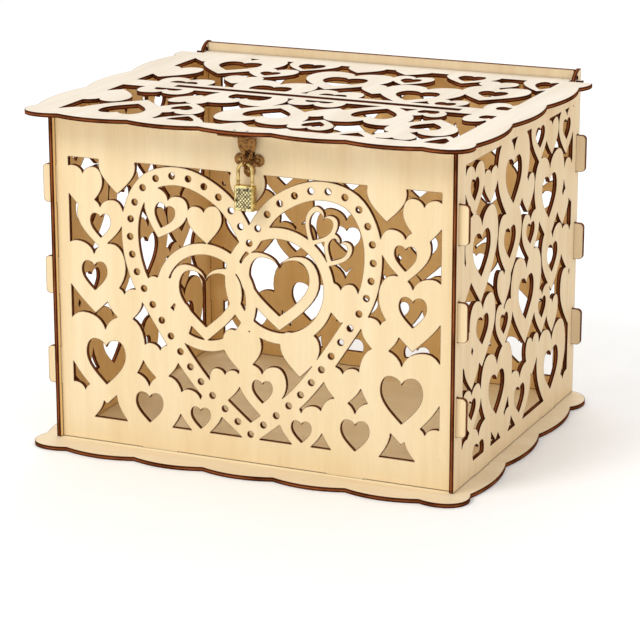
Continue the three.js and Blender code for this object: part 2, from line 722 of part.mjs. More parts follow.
function staplePlate() {
  const middle = PLATE_FACE + PLATE_THICKNESS / 2;
  const across = [LATCH_X - 4, LATCH_X + 4];
  const through = [PLATE_FACE, PLATE_FACE + PLATE_THICKNESS];
  let plate = block(...across, ...through, STAPLE_LOW - 3, STAPLE_HIGH + 2);
  for (const [x, z] of staplePlateNails) {
    plate = plate.add(endwise(LOBE_RADIUS, PLATE_THICKNESS, x, middle, z, 20));
  }
  for (const [x, z] of staplePlateNails) {
    plate = plate.subtract(endwise(NAIL_RADIUS + GAP, 4, x, middle, z, 10));
  }
  for (const z of [STAPLE_LOW, STAPLE_HIGH]) {
    plate = plate.subtract(endwise(LOOP_WIRE + GAP, 4, LATCH_X, middle, z, 12));
  }
  addPiece("staple_plate", plate, bronze);
  const headAt = PLATE_FACE - GAP;
  staplePlateNails.forEach(([x, z], i) => {
    const pin = nail(frontFace + PLY - headAt).rotateX(-Math.PI / 2);
    addPiece(`plate_nail_${i + 1}`, toSolid(pin.translate(x, headAt, z)), brass);
  });
}

// The staple is one wire, out of the plate, round and back in, in the plane x = LATCH_X.
function stapleLoop() {
  const bend = (STAPLE_HIGH - STAPLE_LOW) / 2;
  const centreZ = STAPLE_LOW + bend;
  const root = PLATE_FACE + PLATE_THICKNESS - 0.05;
  const straightEnd = STAPLE_OUT + bend;
  const at = (y, z) => new THREE.Vector3(LATCH_X, y, z);
  const points = [at(root, STAPLE_HIGH), at((root + straightEnd) / 2, STAPLE_HIGH)];
  for (let i = 0; i <= 8; i++) {
    const angle = Math.PI / 2 - (i * Math.PI) / 8;
    points.push(at(straightEnd - bend * Math.cos(angle), centreZ + bend * Math.sin(angle)));
  }
  points.push(at((root + straightEnd) / 2, STAPLE_LOW), at(root, STAPLE_LOW));
  const path = new THREE.CatmullRomCurve3(points);
  addPiece("staple_loop", wire(path, LOOP_WIRE, 20, 8), bronze);
}

function wire(path, radius, steps, sides) {
  const section = new THREE.Shape();
  section.absarc(0, 0, radius, 0, 2 * Math.PI);
  const settings = { steps, extrudePath: path, bevelEnabled: false, curveSegments: sides / 2 };
  return toSolid(new THREE.ExtrudeGeometry(section, settings));
}

// ---- padlock ----

const LOCK_X = LATCH_X;
const LOCK_Y = -117.4;
const LOCK_WIDTH = 14.4;
const LOCK_DEPTH = 6;
const LOCK_BOTTOM = 183;
const LOCK_TOP = 200;
const SHACKLE_RADIUS = 1.2;
const LEG_X = 5.2;
const SHACKLE_TOP = STAPLE_LOW + LOOP_WIRE + GAP + SHACKLE_RADIUS;
const HEEL_END = 187;
const TOE_END = 194;
const PLUG_RADIUS = 2;
const PLUG_TOP = 193;
const BOLT_Z = 196.4;
const BOLT_HALF = 0.6;
const BOLT_THROW = 0.9; // the bolt is drawn back, and the key throws it into the shackle's notch
const BORE_FLOOR = 1.5; // solid metal under the shackle's bores
const SPRING_TURNS = 3;
const SPRING_RADIUS = 0.95;
const SPRING_WIRE = 0.2;

function padlockShackle() {
  const arcZ = SHACKLE_TOP - LEG_X;
  const at = (x, z) => new THREE.Vector3(LOCK_X + x, LOCK_Y, z);
  const points = [at(-LEG_X, HEEL_END), at(-LEG_X, (HEEL_END + arcZ) / 2)];
  for (let i = 0; i <= 10; i++) {
    const angle = Math.PI - (i * Math.PI) / 10;
    points.push(at(LEG_X * Math.cos(angle), arcZ + LEG_X * Math.sin(angle)));
  }
  points.push(at(LEG_X, (TOE_END + arcZ) / 2), at(LEG_X, TOE_END));
  const path = new THREE.CatmullRomCurve3(points);
  let shackle = wire(path, SHACKLE_RADIUS, 26, 10);
  const leg = LOCK_X + LEG_X;
  const notchHalf = BOLT_HALF + GAP;
  const cut = [leg - 2, leg - 0.4, LOCK_Y - 2, LOCK_Y + 2, BOLT_Z - notchHalf, BOLT_Z + notchHalf];
  shackle = shackle.subtract(block(...cut));
  addPiece("padlock_shackle", shackle, brass);
}

function padlockBody() {
  const half = LOCK_WIDTH / 2;
  const back = LOCK_DEPTH / 2;
  const corner = 1.2;
  const shape = new THREE.Shape();
  shape.moveTo(-half + corner, -back);
  shape.absarc(half - corner, -back + corner, corner, -Math.PI / 2, 0);
  shape.absarc(half - corner, back - corner, corner, 0, Math.PI / 2);
  shape.absarc(-half + corner, back - corner, corner, Math.PI / 2, Math.PI);
  shape.absarc(-half + corner, -back + corner, corner, Math.PI, 1.5 * Math.PI);
  let body = slab(shape, LOCK_BOTTOM, LOCK_TOP, 4).translate([LOCK_X, LOCK_Y, 0]);
  const bore = SHACKLE_RADIUS + GAP;
  for (const x of [-LEG_X, LEG_X]) {
    const low = LOCK_BOTTOM + BORE_FLOOR;
    const length = LOCK_TOP + 1 - low;
    body = body.subtract(upright(bore, length, LOCK_X + x, LOCK_Y, low + length / 2, 12));
  }
  const plugLength = PLUG_TOP + GAP - LOCK_BOTTOM + 1;
  const plugMiddle = LOCK_BOTTOM - 1 + plugLength / 2;
  body = body.subtract(upright(PLUG_RADIUS + GAP, plugLength, LOCK_X, LOCK_Y, plugMiddle, 16));
  // The bolt's way across, and the cam's way up to it from the plug.
  const deep = [LOCK_Y - 1.2, LOCK_Y + 1.2];
  const way = [LOCK_X - 3.2, LOCK_X + LEG_X, ...deep, BOLT_Z - BOLT_HALF - 0.4, BOLT_Z + BOLT_HALF + 0.4];
  body = body.subtract(block(...way));
  body = body.subtract(block(LOCK_X - 1.2, LOCK_X + 1.2, ...deep, PLUG_TOP, BOLT_Z));
  addPiece("padlock_body", body, brass);
}

function padlockPlug() {
  const low = LOCK_BOTTOM + 0.4;
  const length = PLUG_TOP - low;
  const plug = upright(PLUG_RADIUS, length, LOCK_X, LOCK_Y, low + length / 2, 16);
  const across = [LOCK_X - 0.4, LOCK_X + 0.4];
  const keyway = block(...across, LOCK_Y - 1.4, LOCK_Y + 1.4, LOCK_BOTTOM, PLUG_TOP - 2);
  addPiece("padlock_plug", plug.subtract(keyway), brass);
}

function padlockBolt() {
  const end = LOCK_X + LEG_X - 0.7 - BOLT_THROW;
  const size = [end - 4.7, end, LOCK_Y - 0.9, LOCK_Y + 0.9, BOLT_Z - BOLT_HALF, BOLT_Z + BOLT_HALF];
  addPiece("padlock_bolt", block(...size), steel);
}

// The spring under the shackle's long leg.
function padlockSpring() {
  const coil = [];
  const low = LOCK_BOTTOM + BORE_FLOOR + SPRING_WIRE + GAP;
  const high = HEEL_END - SPRING_WIRE - GAP;
  const steps = SPRING_TURNS * 8;
  for (let i = 0; i <= steps; i++) {
    const angle = (i * Math.PI) / 4;
    const x = LOCK_X - LEG_X + SPRING_RADIUS * Math.cos(angle);
    const y = LOCK_Y + SPRING_RADIUS * Math.sin(angle);
    coil.push(new THREE.Vector3(x, y, low + ((high - low) * i) / steps));
  }
  const spring = wire(new THREE.CatmullRomCurve3(coil), SPRING_WIRE, steps, 6);
  addPiece("padlock_spring", spring, steel);
}

basePlate();
frontPanel();
backPanel();
sidePanel("left_side_panel", -side);
sidePanel("right_side_panel", inner);
lidPanel();
haspFixedLeaf();
haspSwingLeaf();
haspNails();
staplePlate();
stapleLoop();
padlockShackle();
padlockBody();
padlockPlug();
padlockBolt();
padlockSpring();

export default box;
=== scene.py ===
import math
import bpy
from mathutils import Matrix, Vector


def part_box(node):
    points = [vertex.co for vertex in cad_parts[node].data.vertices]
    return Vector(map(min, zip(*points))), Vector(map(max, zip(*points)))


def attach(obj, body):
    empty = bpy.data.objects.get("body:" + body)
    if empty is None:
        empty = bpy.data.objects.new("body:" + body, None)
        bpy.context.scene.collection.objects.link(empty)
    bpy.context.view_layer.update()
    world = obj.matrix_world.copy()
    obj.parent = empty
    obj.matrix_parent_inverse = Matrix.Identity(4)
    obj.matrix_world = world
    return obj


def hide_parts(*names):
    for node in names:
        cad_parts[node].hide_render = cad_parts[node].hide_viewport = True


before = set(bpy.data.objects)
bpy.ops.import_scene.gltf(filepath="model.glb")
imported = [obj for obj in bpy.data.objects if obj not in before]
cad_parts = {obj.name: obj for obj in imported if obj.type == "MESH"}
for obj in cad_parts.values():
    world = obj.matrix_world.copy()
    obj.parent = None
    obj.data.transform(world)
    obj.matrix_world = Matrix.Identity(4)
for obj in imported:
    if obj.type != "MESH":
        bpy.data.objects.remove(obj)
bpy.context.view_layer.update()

# ---- The table, the light and the camera ----
# White paper on a table in a white room, with a large soft lamp over the front left, a weaker one on
# the right and one behind, as for a catalogue picture of a small wooden box.


def feed(tree, target, value):
    """Links a socket to another one, or sets it to a plain value."""
    if isinstance(value, bpy.types.NodeSocket):
        tree.links.new(value, target)
    else:
        target.default_value = value


def noise(tree, place, scale, detail=2, rough=0.5):
    texture = tree.nodes.new("ShaderNodeTexNoise")
    for socket, value in (("Scale", scale), ("Detail", detail), ("Roughness", rough)):
        texture.inputs[socket].default_value = value
    tree.links.new(place, texture.inputs["Vector"])
    return texture.outputs["Fac"]


def mixed(tree, share, a, b, way="MIX"):
    """Two colours mixed, or multiplied, by a share."""
    blend = tree.nodes.new("ShaderNodeMix")
    blend.data_type = "RGBA"
    blend.blend_type = way
    sockets = {socket.name: socket for socket in blend.inputs if socket.enabled}
    for name, value in (("Factor", share), ("A", a), ("B", b)):
        feed(tree, sockets[name], value)
    return next(socket for socket in blend.outputs if socket.enabled)


def new_finish(name):
    """A new material: itself, its node tree, its shader and the place on the object."""
    material = bpy.data.materials.new(name)
    material.use_nodes = True
    tree = material.node_tree
    place = tree.nodes.new("ShaderNodeTexCoord").outputs["Object"]
    return material, tree, tree.nodes["Principled BSDF"], place


bpy.ops.object.select_all(action="DESELECT")
bpy.ops.mesh.primitive_plane_add(size=14, location=(0, 0, -0.0002))
table = bpy.context.object
table.name = "table"
paper, paper_tree, paper_shader, paper_place = new_finish("white paper")
paper_shader.inputs["Roughness"].default_value = 0.85
fibre = noise(paper_tree, paper_place, 60)
paper_tone = mixed(paper_tree, fibre, (0.95, 0.95, 0.945, 1), (0.98, 0.98, 0.98, 1))
paper_tree.links.new(paper_tone, paper_shader.inputs["Base Color"])
table.data.materials.append(paper)

room = bpy.data.worlds.new("white room")
room.use_nodes = True
room.node_tree.nodes["Background"].inputs["Color"].default_value = (1, 1, 1, 1)
room.node_tree.nodes["Background"].inputs["Strength"].default_value = 0.78
bpy.context.scene.world = room
bpy.context.scene.view_settings.view_transform = "Standard"


def lamp(name, place, size, power, colour):
    bpy.ops.object.light_add(type="AREA", location=place)
    soft = bpy.context.object
    soft.name = name
    soft.data.shape = "DISK"
    soft.data.size = size
    soft.data.energy = power
    soft.data.color = colour
    box_middle = Vector((0, 0, 0.12))
    aim = box_middle - Vector(place)
    soft.rotation_euler = aim.to_track_quat("-Z", "Y").to_euler()


lamp("key lamp", (-0.9, -1.7, 1.9), 1.1, 26, (1.0, 0.97, 0.92))
lamp("side lamp", (2.0, -0.6, 1.1), 1.2, 6, (1.0, 0.97, 0.93))
lamp("back lamp", (-0.4, 1.6, 1.9), 1.4, 14, (0.97, 0.98, 1.0))

bpy.ops.object.camera_add(location=(0.7268, -1.6368, 0.5873))
camera = bpy.context.object
camera.name = "camera"
camera.rotation_euler = (math.pi / 2 - 0.277932, 0, 0.416188)
camera.data.sensor_width = 36
camera.data.lens = 146.18
camera.data.clip_end = 40
bpy.context.scene.camera = camera

# ---- Base plate ----
# A scalloped sheet of 3 mm basswood plywood, cut by laser, so that its flat faces stay pale and its
# edges are burnt brown. Slots take the feet of the four walls, which push in dry.

MM = 0.001
PLY = 3.0
GAP = 0.3
FOOT_HALF = 13.7
FRONT_FEET = (-70, 70)
SIDE_FEET = (-60, 80)
WALL_HALF = 150.0


def sheet_blank(name, outline, low, high):
    """A flat blank with this outline, lying between two heights, everything in millimetres."""
    bpy.ops.object.select_all(action="DESELECT")
    bpy.ops.mesh.primitive_circle_add(vertices=len(outline), fill_type="NGON")
    blank = bpy.context.object
    blank.name = blank.data.name = name
    for vertex, (x, y) in zip(blank.data.vertices, outline):
        vertex.co = (x * MM, y * MM, low * MM)
    bpy.ops.object.mode_set(mode="EDIT")
    bpy.ops.mesh.select_all(action="SELECT")
    bpy.ops.mesh.extrude_region_move(TRANSFORM_OT_translate={"value": (0, 0, (high - low) * MM)})
    bpy.ops.mesh.select_all(action="SELECT")
    bpy.ops.mesh.normals_make_consistent(inside=False)
    bpy.ops.object.mode_set(mode="OBJECT")
    return blank


def bar(x0, x1, y0, y1, low=-1.0, high=PLY + 1):
    return sheet_blank("bar", [(x0, y0), (x1, y0), (x1, y1), (x0, y1)], low, high)


def boolean(piece, others, operation):
    """Joins the others to a piece, or cuts them out of it, and clears them away."""
    pile = bpy.data.collections.new("pile")
    for other in others:
        pile.objects.link(other)
    bpy.ops.object.select_all(action="DESELECT")
    bpy.context.view_layer.objects.active = piece
    work = piece.modifiers.new("work", "BOOLEAN")
    work.operation = operation
    work.solver = "MANIFOLD"
    work.operand_type = "COLLECTION"
    work.collection = pile
    bpy.ops.object.modifier_apply(modifier="work")
    for other in others:
        bpy.data.meshes.remove(other.data)
    bpy.data.collections.remove(pile)
    return piece


def cut(piece, others):
    return boolean(piece, others, "DIFFERENCE")


def join(piece, others):
    return boolean(piece, others, "UNION")


def bezier(a, b, c, d, steps):
    """Points on a cubic curve from a towards d, without d itself."""
    points = []
    for i in range(steps):
        t = i / steps
        s = 1 - t
        share = (s * s * s, 3 * s * s * t, 3 * s * t * t, t * t * t)
        points.append(tuple(sum(k * p[n] for k, p in zip(share, (a, b, c, d))) for n in (0, 1)))
    return points


def scallops(steps):
    """Right half of the scalloped outline, from beside the middle front lobe to the last side notch."""
    half_width, front, deep, pitch, side_pitch = 165.5, -136.5, 5.0, 53.0, 69.0
    notch_x = half_width - deep
    notches = [-108.5 + i * side_pitch for i in range(4)]
    points = []

    def lobe(a, peak, b):
        c1 = tuple(a[n] + (peak[n] - a[n]) * 2 / 3 for n in (0, 1))
        c2 = tuple(b[n] + (peak[n] - b[n]) * 2 / 3 for n in (0, 1))
        points.extend(bezier(a, c1, c2, b, steps))

    for i in (1, 2):
        x = i * pitch
        lobe((x - pitch / 2, front + deep), (x, front - deep), (x + pitch / 2, front + deep))
    corner = ((notch_x - 9, front - 3), (notch_x + 9, front + 8), (notch_x, notches[0]))
    points.extend(bezier((2.5 * pitch, front + deep), *corner, steps))
    for a, b in zip(notches, notches[1:]):
        lobe((notch_x, a), (half_width + deep, (a + b) / 2), (notch_x, b))
    points.append((notch_x, notches[-1]))
    return points


def both_halves(right):
    """A right half outline with its mirror image and the middle front lobe between them."""
    x, y = right[0]
    c1, c2 = (-x / 3, y - 20 / 3), (x / 3, y - 20 / 3)
    middle = bezier((-x, y), c1, c2, (x, y), 12)[1:]
    return right + [(-px, py) for px, py in reversed(right)] + middle


def ranged(tree, value, low, high, to_low=0, to_high=1):
    """A value's range from low to high, carried over to another range."""
    carried = tree.nodes.new("ShaderNodeMapRange")
    names = ("From Min", "From Max", "To Min", "To Max")
    for socket, number in zip(names, (low, high, to_low, to_high)):
        carried.inputs[socket].default_value = number
    tree.links.new(value, carried.inputs["Value"])
    return carried.outputs["Result"]


def worked(tree, operation, *values):
    """A sum of this kind on values or sockets."""
    node = tree.nodes.new("ShaderNodeMath")
    node.operation = operation
    for target, value in zip(node.inputs, values):
        feed(tree, target, value)
    return node.outputs["Value"]


def new_group(name, inputs, outputs):
    """A node group with these named sockets: itself, its inputs and its outputs."""
    group = bpy.data.node_groups.new(name, "ShaderNodeTree")
    for side, sockets in (("INPUT", inputs), ("OUTPUT", outputs)):
        for socket, kind in sockets.items():
            group.interface.new_socket(socket, in_out=side, socket_type="NodeSocket" + kind)
    enter = group.nodes.new("NodeGroupInput")
    leave = group.nodes.new("NodeGroupOutput")
    return group, enter.outputs, leave.inputs


def use_group(tree, group, values):
    node = tree.nodes.new("ShaderNodeGroup")
    node.node_tree = group
    for name, value in values.items():
        feed(tree, node.inputs[name], value)
    return node


def raise_surface(tree, shader, height, strength, depth):
    """Bumps a shader's surface by a height, at most this deep in metres."""
    bump = tree.nodes.new("ShaderNodeBump")
    bump.inputs["Strength"].default_value = strength
    bump.inputs["Distance"].default_value = depth
    tree.links.new(height, bump.inputs["Height"])
    tree.links.new(bump.outputs["Normal"], shader.inputs["Normal"])


def veneer_figure():
    """Basswood veneer: its broad figure, bands, fine fibres and flecks, all drawn out along the grain."""
    inputs = {"Vector": "Vector", "Pale": "Color", "Warm": "Color"}
    outputs = {"Colour": "Color", "Height": "Float", "Roughness": "Float"}
    group, enter, leave = new_group("basswood veneer", inputs, outputs)

    def along_grain(stretch, detail, rough):
        lay = group.nodes.new("ShaderNodeMapping")
        lay.inputs["Scale"].default_value = stretch
        group.links.new(enter["Vector"], lay.inputs["Vector"])
        return noise(group, lay.outputs["Vector"], 1, detail, rough)

    broad = ranged(group, along_grain((5, 34, 34), 3, 0.55), 0.34, 0.68)
    bands = ranged(group, along_grain((9, 150, 150), 4, 0.6), 0.38, 0.66)
    fibres = along_grain((70, 1300, 1300), 3, 0.6)
    flecks = ranged(group, along_grain((210, 1700, 1700), 2, 0.5), 0.63, 0.76)
    band_share = ranged(group, bands, 0, 1, 0, 0.12)
    fibre_share = ranged(group, fibres, 0.35, 0.75, 0, 0.11)
    fleck_share = ranged(group, flecks, 0, 1, 0, 0.13)
    tone = mixed(group, broad, enter["Pale"], enter["Warm"])
    tone = mixed(group, band_share, tone, (0.70, 0.47, 0.24, 1), "MULTIPLY")
    tone = mixed(group, fibre_share, tone, (0.72, 0.52, 0.30, 1), "MULTIPLY")
    tone = mixed(group, fleck_share, tone, (0.46, 0.27, 0.13, 1), "MULTIPLY")
    group.links.new(tone, leave["Colour"])
    group.links.new(ranged(group, fibres, 0.3, 0.7), leave["Height"])
    group.links.new(ranged(group, bands, 0, 1, 0.52, 0.66), leave["Roughness"])
    return group


basswood = veneer_figure()
# The region inside the box where the veneers get painted shade and reflected light.
PAINTED_LIGHT_REGION = (("X", 0, 0.1475), ("Y", 0.0105, 0.124), ("Z", 0.1, 0.1385))


def painted_light_inside_box(tree, place):
    """One within the box's walls and under its lid, where the wood gets a painted tone standing in for shade
    and reflected light, and zero outside.
    """
    parts = tree.nodes.new("ShaderNodeSeparateXYZ")
    tree.links.new(place, parts.inputs["Vector"])
    near = [worked(tree, "COMPARE", parts.outputs[axis], middle, reach) for axis, middle, reach in PAINTED_LIGHT_REGION]
    return worked(tree, "MULTIPLY", worked(tree, "MULTIPLY", near[0], near[1]), near[2])


def veneer(name, pale, warm, turn, outside=None):
    """A sanded veneer face in two tones, with a scorched rim along every cut; turn lays its grain.

    With tones for outside, the two first ones are painted on the wood inside the box as painted shade and
    reflected light.
    """
    material, tree, shader, place = new_finish(name)
    lay = tree.nodes.new("ShaderNodeMapping")
    lay.inputs["Rotation"].default_value = turn
    tree.links.new(place, lay.inputs["Vector"])
    tones = [(*pale, 1), (*warm, 1)]
    if outside:
        # Painted shade and reflected light: a different tone inside the box's walls and under its lid, with a
        # straight edge to it.
        share = painted_light_inside_box(tree, place)
        tones = [mixed(tree, share, (*out, 1), tone) for out, tone in zip(outside, tones)]
    values = {"Vector": lay.outputs["Vector"], "Pale": tones[0], "Warm": tones[1]}
    figure = use_group(tree, basswood, values)
    near_cut = tree.nodes.new("ShaderNodeAmbientOcclusion")
    near_cut.inside = True
    near_cut.only_local = True
    near_cut.samples = 8
    near_cut.inputs["Distance"].default_value = 0.0008
    scorch = ranged(tree, near_cut.outputs["AO"], 0.92, 0.55)
    scorched = mixed(tree, scorch, figure.outputs["Colour"], (0.16, 0.06, 0.025, 1), "MULTIPLY")
    shader.inputs["Specular IOR Level"].default_value = 0.32
    tree.links.new(scorched, shader.inputs["Base Color"])
    tree.links.new(figure.outputs["Roughness"], shader.inputs["Roughness"])
    raise_surface(tree, shader, figure.outputs["Height"], 0.12, 0.0002)
    return material


def laser_burn():
    """A laser-cut edge: two burnt outer plies, a browner middle ply with its glue lines, and soot."""
    inputs = {"Vector": "Vector", "Depth": "Float"}
    group, enter, leave = new_group("laser-burnt edge", inputs, {"Colour": "Color", "Height": "Float"})
    waver = noise(group, enter["Vector"], 240)
    depth = worked(group, "MULTIPLY_ADD", waver, 0.10, enter["Depth"])
    plies = group.nodes.new("ShaderNodeValToRGB")
    plies.color_ramp.elements[0].color = (0.050, 0.010, 0.004, 1)
    plies.color_ramp.elements[1].color = (0.045, 0.009, 0.004, 1)
    for position, colour in (
        (0.24, (0.110, 0.026, 0.009, 1)),
        (0.33, (0.040, 0.008, 0.003, 1)),
        (0.40, (0.290, 0.088, 0.028, 1)),
        (0.60, (0.310, 0.096, 0.031, 1)),
        (0.68, (0.042, 0.009, 0.003, 1)),
        (0.78, (0.115, 0.027, 0.009, 1)),
    ):
        plies.color_ramp.elements.new(position).color = colour
    group.links.new(depth, plies.inputs["Fac"])
    soot = ranged(group, noise(group, enter["Vector"], 55, 4), 0.36, 0.66)
    sooty = mixed(group, soot, plies.outputs["Color"], (0.42, 0.36, 0.34, 1), "MULTIPLY")
    group.links.new(sooty, leave["Colour"])
    group.links.new(depth, leave["Height"])
    return group


burn = laser_burn()


def burnt_edge(name, axis, low, high):
    """The burnt edge of a sheet whose thickness runs along an axis from low to high, in metres."""
    material, tree, shader, place = new_finish(name)
    parts = tree.nodes.new("ShaderNodeSeparateXYZ")
    tree.links.new(place, parts.inputs["Vector"])
    depth = ranged(tree, parts.outputs[axis], low, high)
    edge = use_group(tree, burn, {"Vector": place, "Depth": depth})
    shader.inputs["Roughness"].default_value = 0.62
    shader.inputs["Specular IOR Level"].default_value = 0
    tree.links.new(edge.outputs["Colour"], shader.inputs["Base Color"])
    raise_surface(tree, shader, edge.outputs["Height"], 0.25, 0.0002)
    return material


AXES = {"X": Vector((1, 0, 0)), "Y": Vector((0, 1, 0)), "Z": Vector((0, 0, 1))}


def finish_sheet(piece, node, body, place, outer, inner, axis, outward):
    """Lays a flat sheet in its place and gives its two faces and its burnt edges their materials."""
    piece.data.transform(place)
    low, high = (corner["XYZ".index(axis)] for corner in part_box(node))
    piece.data.materials.clear()
    for material in (outer, burnt_edge(node + " edge", axis, low, high), inner):
        piece.data.materials.append(material)
    for face in piece.data.polygons:
        facing = face.normal.dot(AXES[axis]) * outward
        face.material_index = 0 if facing > 0.5 else 2 if facing < -0.5 else 1
    bpy.ops.object.select_all(action="DESELECT")
    piece.select_set(True)
    bpy.context.view_layer.objects.active = piece
    bpy.ops.object.shade_smooth_by_angle(angle=math.radians(25))
    piece.name = node + "_ply"
    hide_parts(node)
    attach(piece, body)


base_half = scallops(12)
base_back = bezier(base_half[-1], (170.5, 108), (166.5, 136.5), (143.5, 136.5), 12)[1:] + [(143.5, 136.5)]
base = sheet_blank("base", both_halves(base_half + base_back), 0, PLY)
base_slots = []
for node in ("front_panel", "back_panel"):
    near, far = (corner.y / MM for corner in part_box(node))
    for x in FRONT_FEET:
        base_slots.append(bar(x - FOOT_HALF - GAP, x + FOOT_HALF + GAP, near - GAP, far + GAP))
for x in (-WALL_HALF, WALL_HALF - PLY):
    for y in SIDE_FEET:
        base_slots.append(bar(x - GAP, x + PLY + GAP, y - FOOT_HALF - GAP, y + FOOT_HALF + GAP))
cut(base, base_slots)
# Inside the box the base's top is painted paler and warmer: painted reflected light under the lid.
base_outside = (0.85, 0.725, 0.52), (0.80, 0.66, 0.45)
base_top = veneer("base veneer, painted light inside", (0.98, 0.87, 0.60), (0.94, 0.81, 0.53), (0, 0, 0), base_outside)
base_under = veneer("base back veneer", (0.78, 0.62, 0.41), (0.68, 0.48, 0.27), (0, 0, 0))
finish_sheet(base, "base_plate", "box", Matrix.Identity(4), base_top, base_under, "Z", 1)

# ---- Front wall ----
# A plywood sheet with three tabs at each side and two feet. Its window holds a big heart band with
# a row of dots, two linked wedding rings, each round a heart, and a lattice of plain hearts.


def heart_outline():
    """A heart one wide and one high, standing on its tip at the origin."""
    right = bezier((0, 0), (0.22, 0.20), (0.49, 0.42), (0.49, 0.68), 9)
    right += bezier((0.49, 0.68), (0.49, 0.87), (0.395, 1), (0.27, 1), 6)
    right += bezier((0.27, 1), (0.14, 1), (0.03, 0.94), (0, 0.83), 6)
    left = [(-x, y) for x, y in right[1:]]
    return right + [(0, 0.83)] + left[::-1]


unit_heart = sheet_blank("heart", [(x / MM, y / MM) for x, y in heart_outline()], -500, 500)


def heart(x, width, top, tip, lean=0.0, low=-1.0, high=PLY + 1):
    """A copy of the heart, this wide, between these heights, leaning about its tip, in millimetres."""
    turn = lean if top > tip else lean + 180
    one = unit_heart.copy()
    one.data = unit_heart.data.copy()
    bpy.context.scene.collection.objects.link(one)
    size = Matrix.Diagonal((width * MM, abs(top - tip) * MM, (high - low) * MM, 1))
    place = Matrix.Translation((x * MM, tip * MM, (low + high) / 2 * MM))
    one.data.transform(place @ Matrix.Rotation(math.radians(-turn), 4, "Z") @ size)
    return one


# A heart is x, width, top and tip, then the width, top and tip of the opening in it, and its lean.
def solid_hearts(hearts):
    return [heart(*h[:4], h[7] if len(h) > 7 else 0) for h in hearts]


def heart_openings(hearts):
    openings = []
    for h in hearts:
        if len(h) > 4 and h[4]:
            x, tip, width, hole_top, hole_tip = h[0], h[3], h[4], h[5], h[6]
            lean = h[7] if len(h) > 7 else 0
            up = hole_tip - tip
            low = tip + up * math.cos(math.radians(lean))
            across = x + up * math.sin(math.radians(lean))
            openings.append(heart(across, width, low + hole_top - hole_tip, low, lean, -2, PLY + 2))
    return openings


def lattice(sheet, window, bars, openings):
    """Cuts a window out of a sheet and leaves the bars standing in it, with their own openings."""
    grille = bars[0]
    join(grille, bars[1:])
    cut(grille, openings)
    cut(window, [grille])
    cut(sheet, [window])
    return sheet


TAB_LEVELS = (55.3, 120.5, 186)
TAB_HALF = 13.5


def tab(level, sign):
    """One side tab with rounded outer corners."""
    root, end, low, high = 145.7, 157.0, level - TAB_HALF, level + TAB_HALF
    corner = 3.0
    arc = [(end - corner + corner * math.sin(a), low + corner - corner * math.cos(a))
           for a in (i * math.pi / 12 for i in range(7))]
    outline = [(root, low)] + arc + [(x, low + high - y) for x, y in reversed(arc)] + [(root, high)]
    return sheet_blank("tab", [(sign * x, y) for x, y in outline], 0, PLY)


def cross_wall(name, top):
    """A front or back wall in the flat, with its side tabs and its feet."""
    edge = WALL_HALF - PLY - GAP
    bottom = PLY + GAP
    wall = sheet_blank(name, [(-edge, bottom), (edge, bottom), (edge, top), (-edge, top)], 0, PLY)
    additions = [tab(level, sign) for level in TAB_LEVELS for sign in (-1, 1)]
    additions += [bar(x - FOOT_HALF, x + FOOT_HALF, GAP, bottom + 1, 0, PLY) for x in FRONT_FEET]
    return join(wall, additions)


def stand_across(node):
    """The turn and move that stand a flat wall across the box, where its node stands."""
    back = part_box(node)[1].y
    return Matrix.Translation((0, back, 0)) @ Matrix.Rotation(math.pi / 2, 4, "X")


BAND_POINTS = ((0, 158.6), (18, 184.5), (47.5, 199), (75.5, 193.5), (89.3, 168),
               (86.6, 133), (67.5, 98), (36.7, 55.8), (0, 23.6))


def band_line(count):
    """Evenly spaced points on the heart band's centre line, each with its direction."""
    fine = []
    last = len(BAND_POINTS) - 1
    for i in range(last):
        p = [Vector(BAND_POINTS[min(max(i + k, 0), last)]) for k in (-1, 0, 1, 2)]
        v0, v1 = (p[2] - p[0]) / 2, (p[3] - p[1]) / 2
        for j in range(60):
            t = j / 60
            cubic = (2 * p[1] - 2 * p[2] + v0 + v1) * t ** 3
            square = (-3 * p[1] + 3 * p[2] - 2 * v0 - v1) * t ** 2
            fine.append(cubic + square + v0 * t + p[1])
    fine.append(Vector(BAND_POINTS[-1]))
    walked = [0.0]
    for a, b in zip(fine, fine[1:]):
        walked.append(walked[-1] + (b - a).length)
    spots = []
    k = 0
    for i in range(count + 1):
        goal = walked[-1] * i / count
        while k < len(walked) - 2 and walked[k + 1] < goal:
            k += 1
        step = fine[k + 1] - fine[k]
        share = (goal - walked[k]) / (walked[k + 1] - walked[k])
        spots.append((fine[k] + step * min(share, 1), step.normalized()))
    return spots


def band_edge(offset, cleft, tip):
    right = [(p.x - d.y * offset, p.y + d.x * offset) for p, d in band_line(64)]
    right = [(x, y) for x, y in right if x > 1.2]
    return [(0, cleft)] + right + [(0, tip)] + [(-x, y) for x, y in reversed(right)]


def disc(x, y, radius, low=-1.0, high=PLY + 1, sides=24):
    turns = [2 * math.pi * i / sides for i in range(sides)]
    outline = [(x + radius * math.cos(a), y + radius * math.sin(a)) for a in turns]
    return sheet_blank("disc", outline, low, high)


def mirrored(hearts):
    return [(-h[0], *h[1:]) for h in hearts]


front_pairs = [
    (126, 31, 200.6, 169), (99.5, 29, 212, 183), (113, 37, 178.6, 143, 16, 168, 151),
    (118.5, 50, 147.6, 96.5, 20, 133.6, 113), (95.5, 28, 117, 90), (111, 63, 96.6, 31, 31, 78, 45.5),
    (68.5, 29, 80, 52), (77.5, 53, 57.6, 3, 21.5, 43.6, 22), (38, 35, 50, 14, 15.2, 38, 22.6),
    (128, 30, 45, 14),
]
front_pairs += mirrored(front_pairs) + [(-1, 27, 209.6, 181)]
front_inside = [
    (-68.6, 34, 189, 155.2, 15.5, 180, 163, 16), (-31.5, 27, 181, 154.6, 0, 0, 0, -6),
    (-49.5, 26, 111, 83, 0, 0, 0, -20), (-19, 24, 68, 44), (9, 37, 74, 36.6, 15.5, 63, 47),
    (-6, 30, 97, 66), (37, 30, 100, 69), (67, 26, 138, 110), (-66, 26, 128, 101),
]


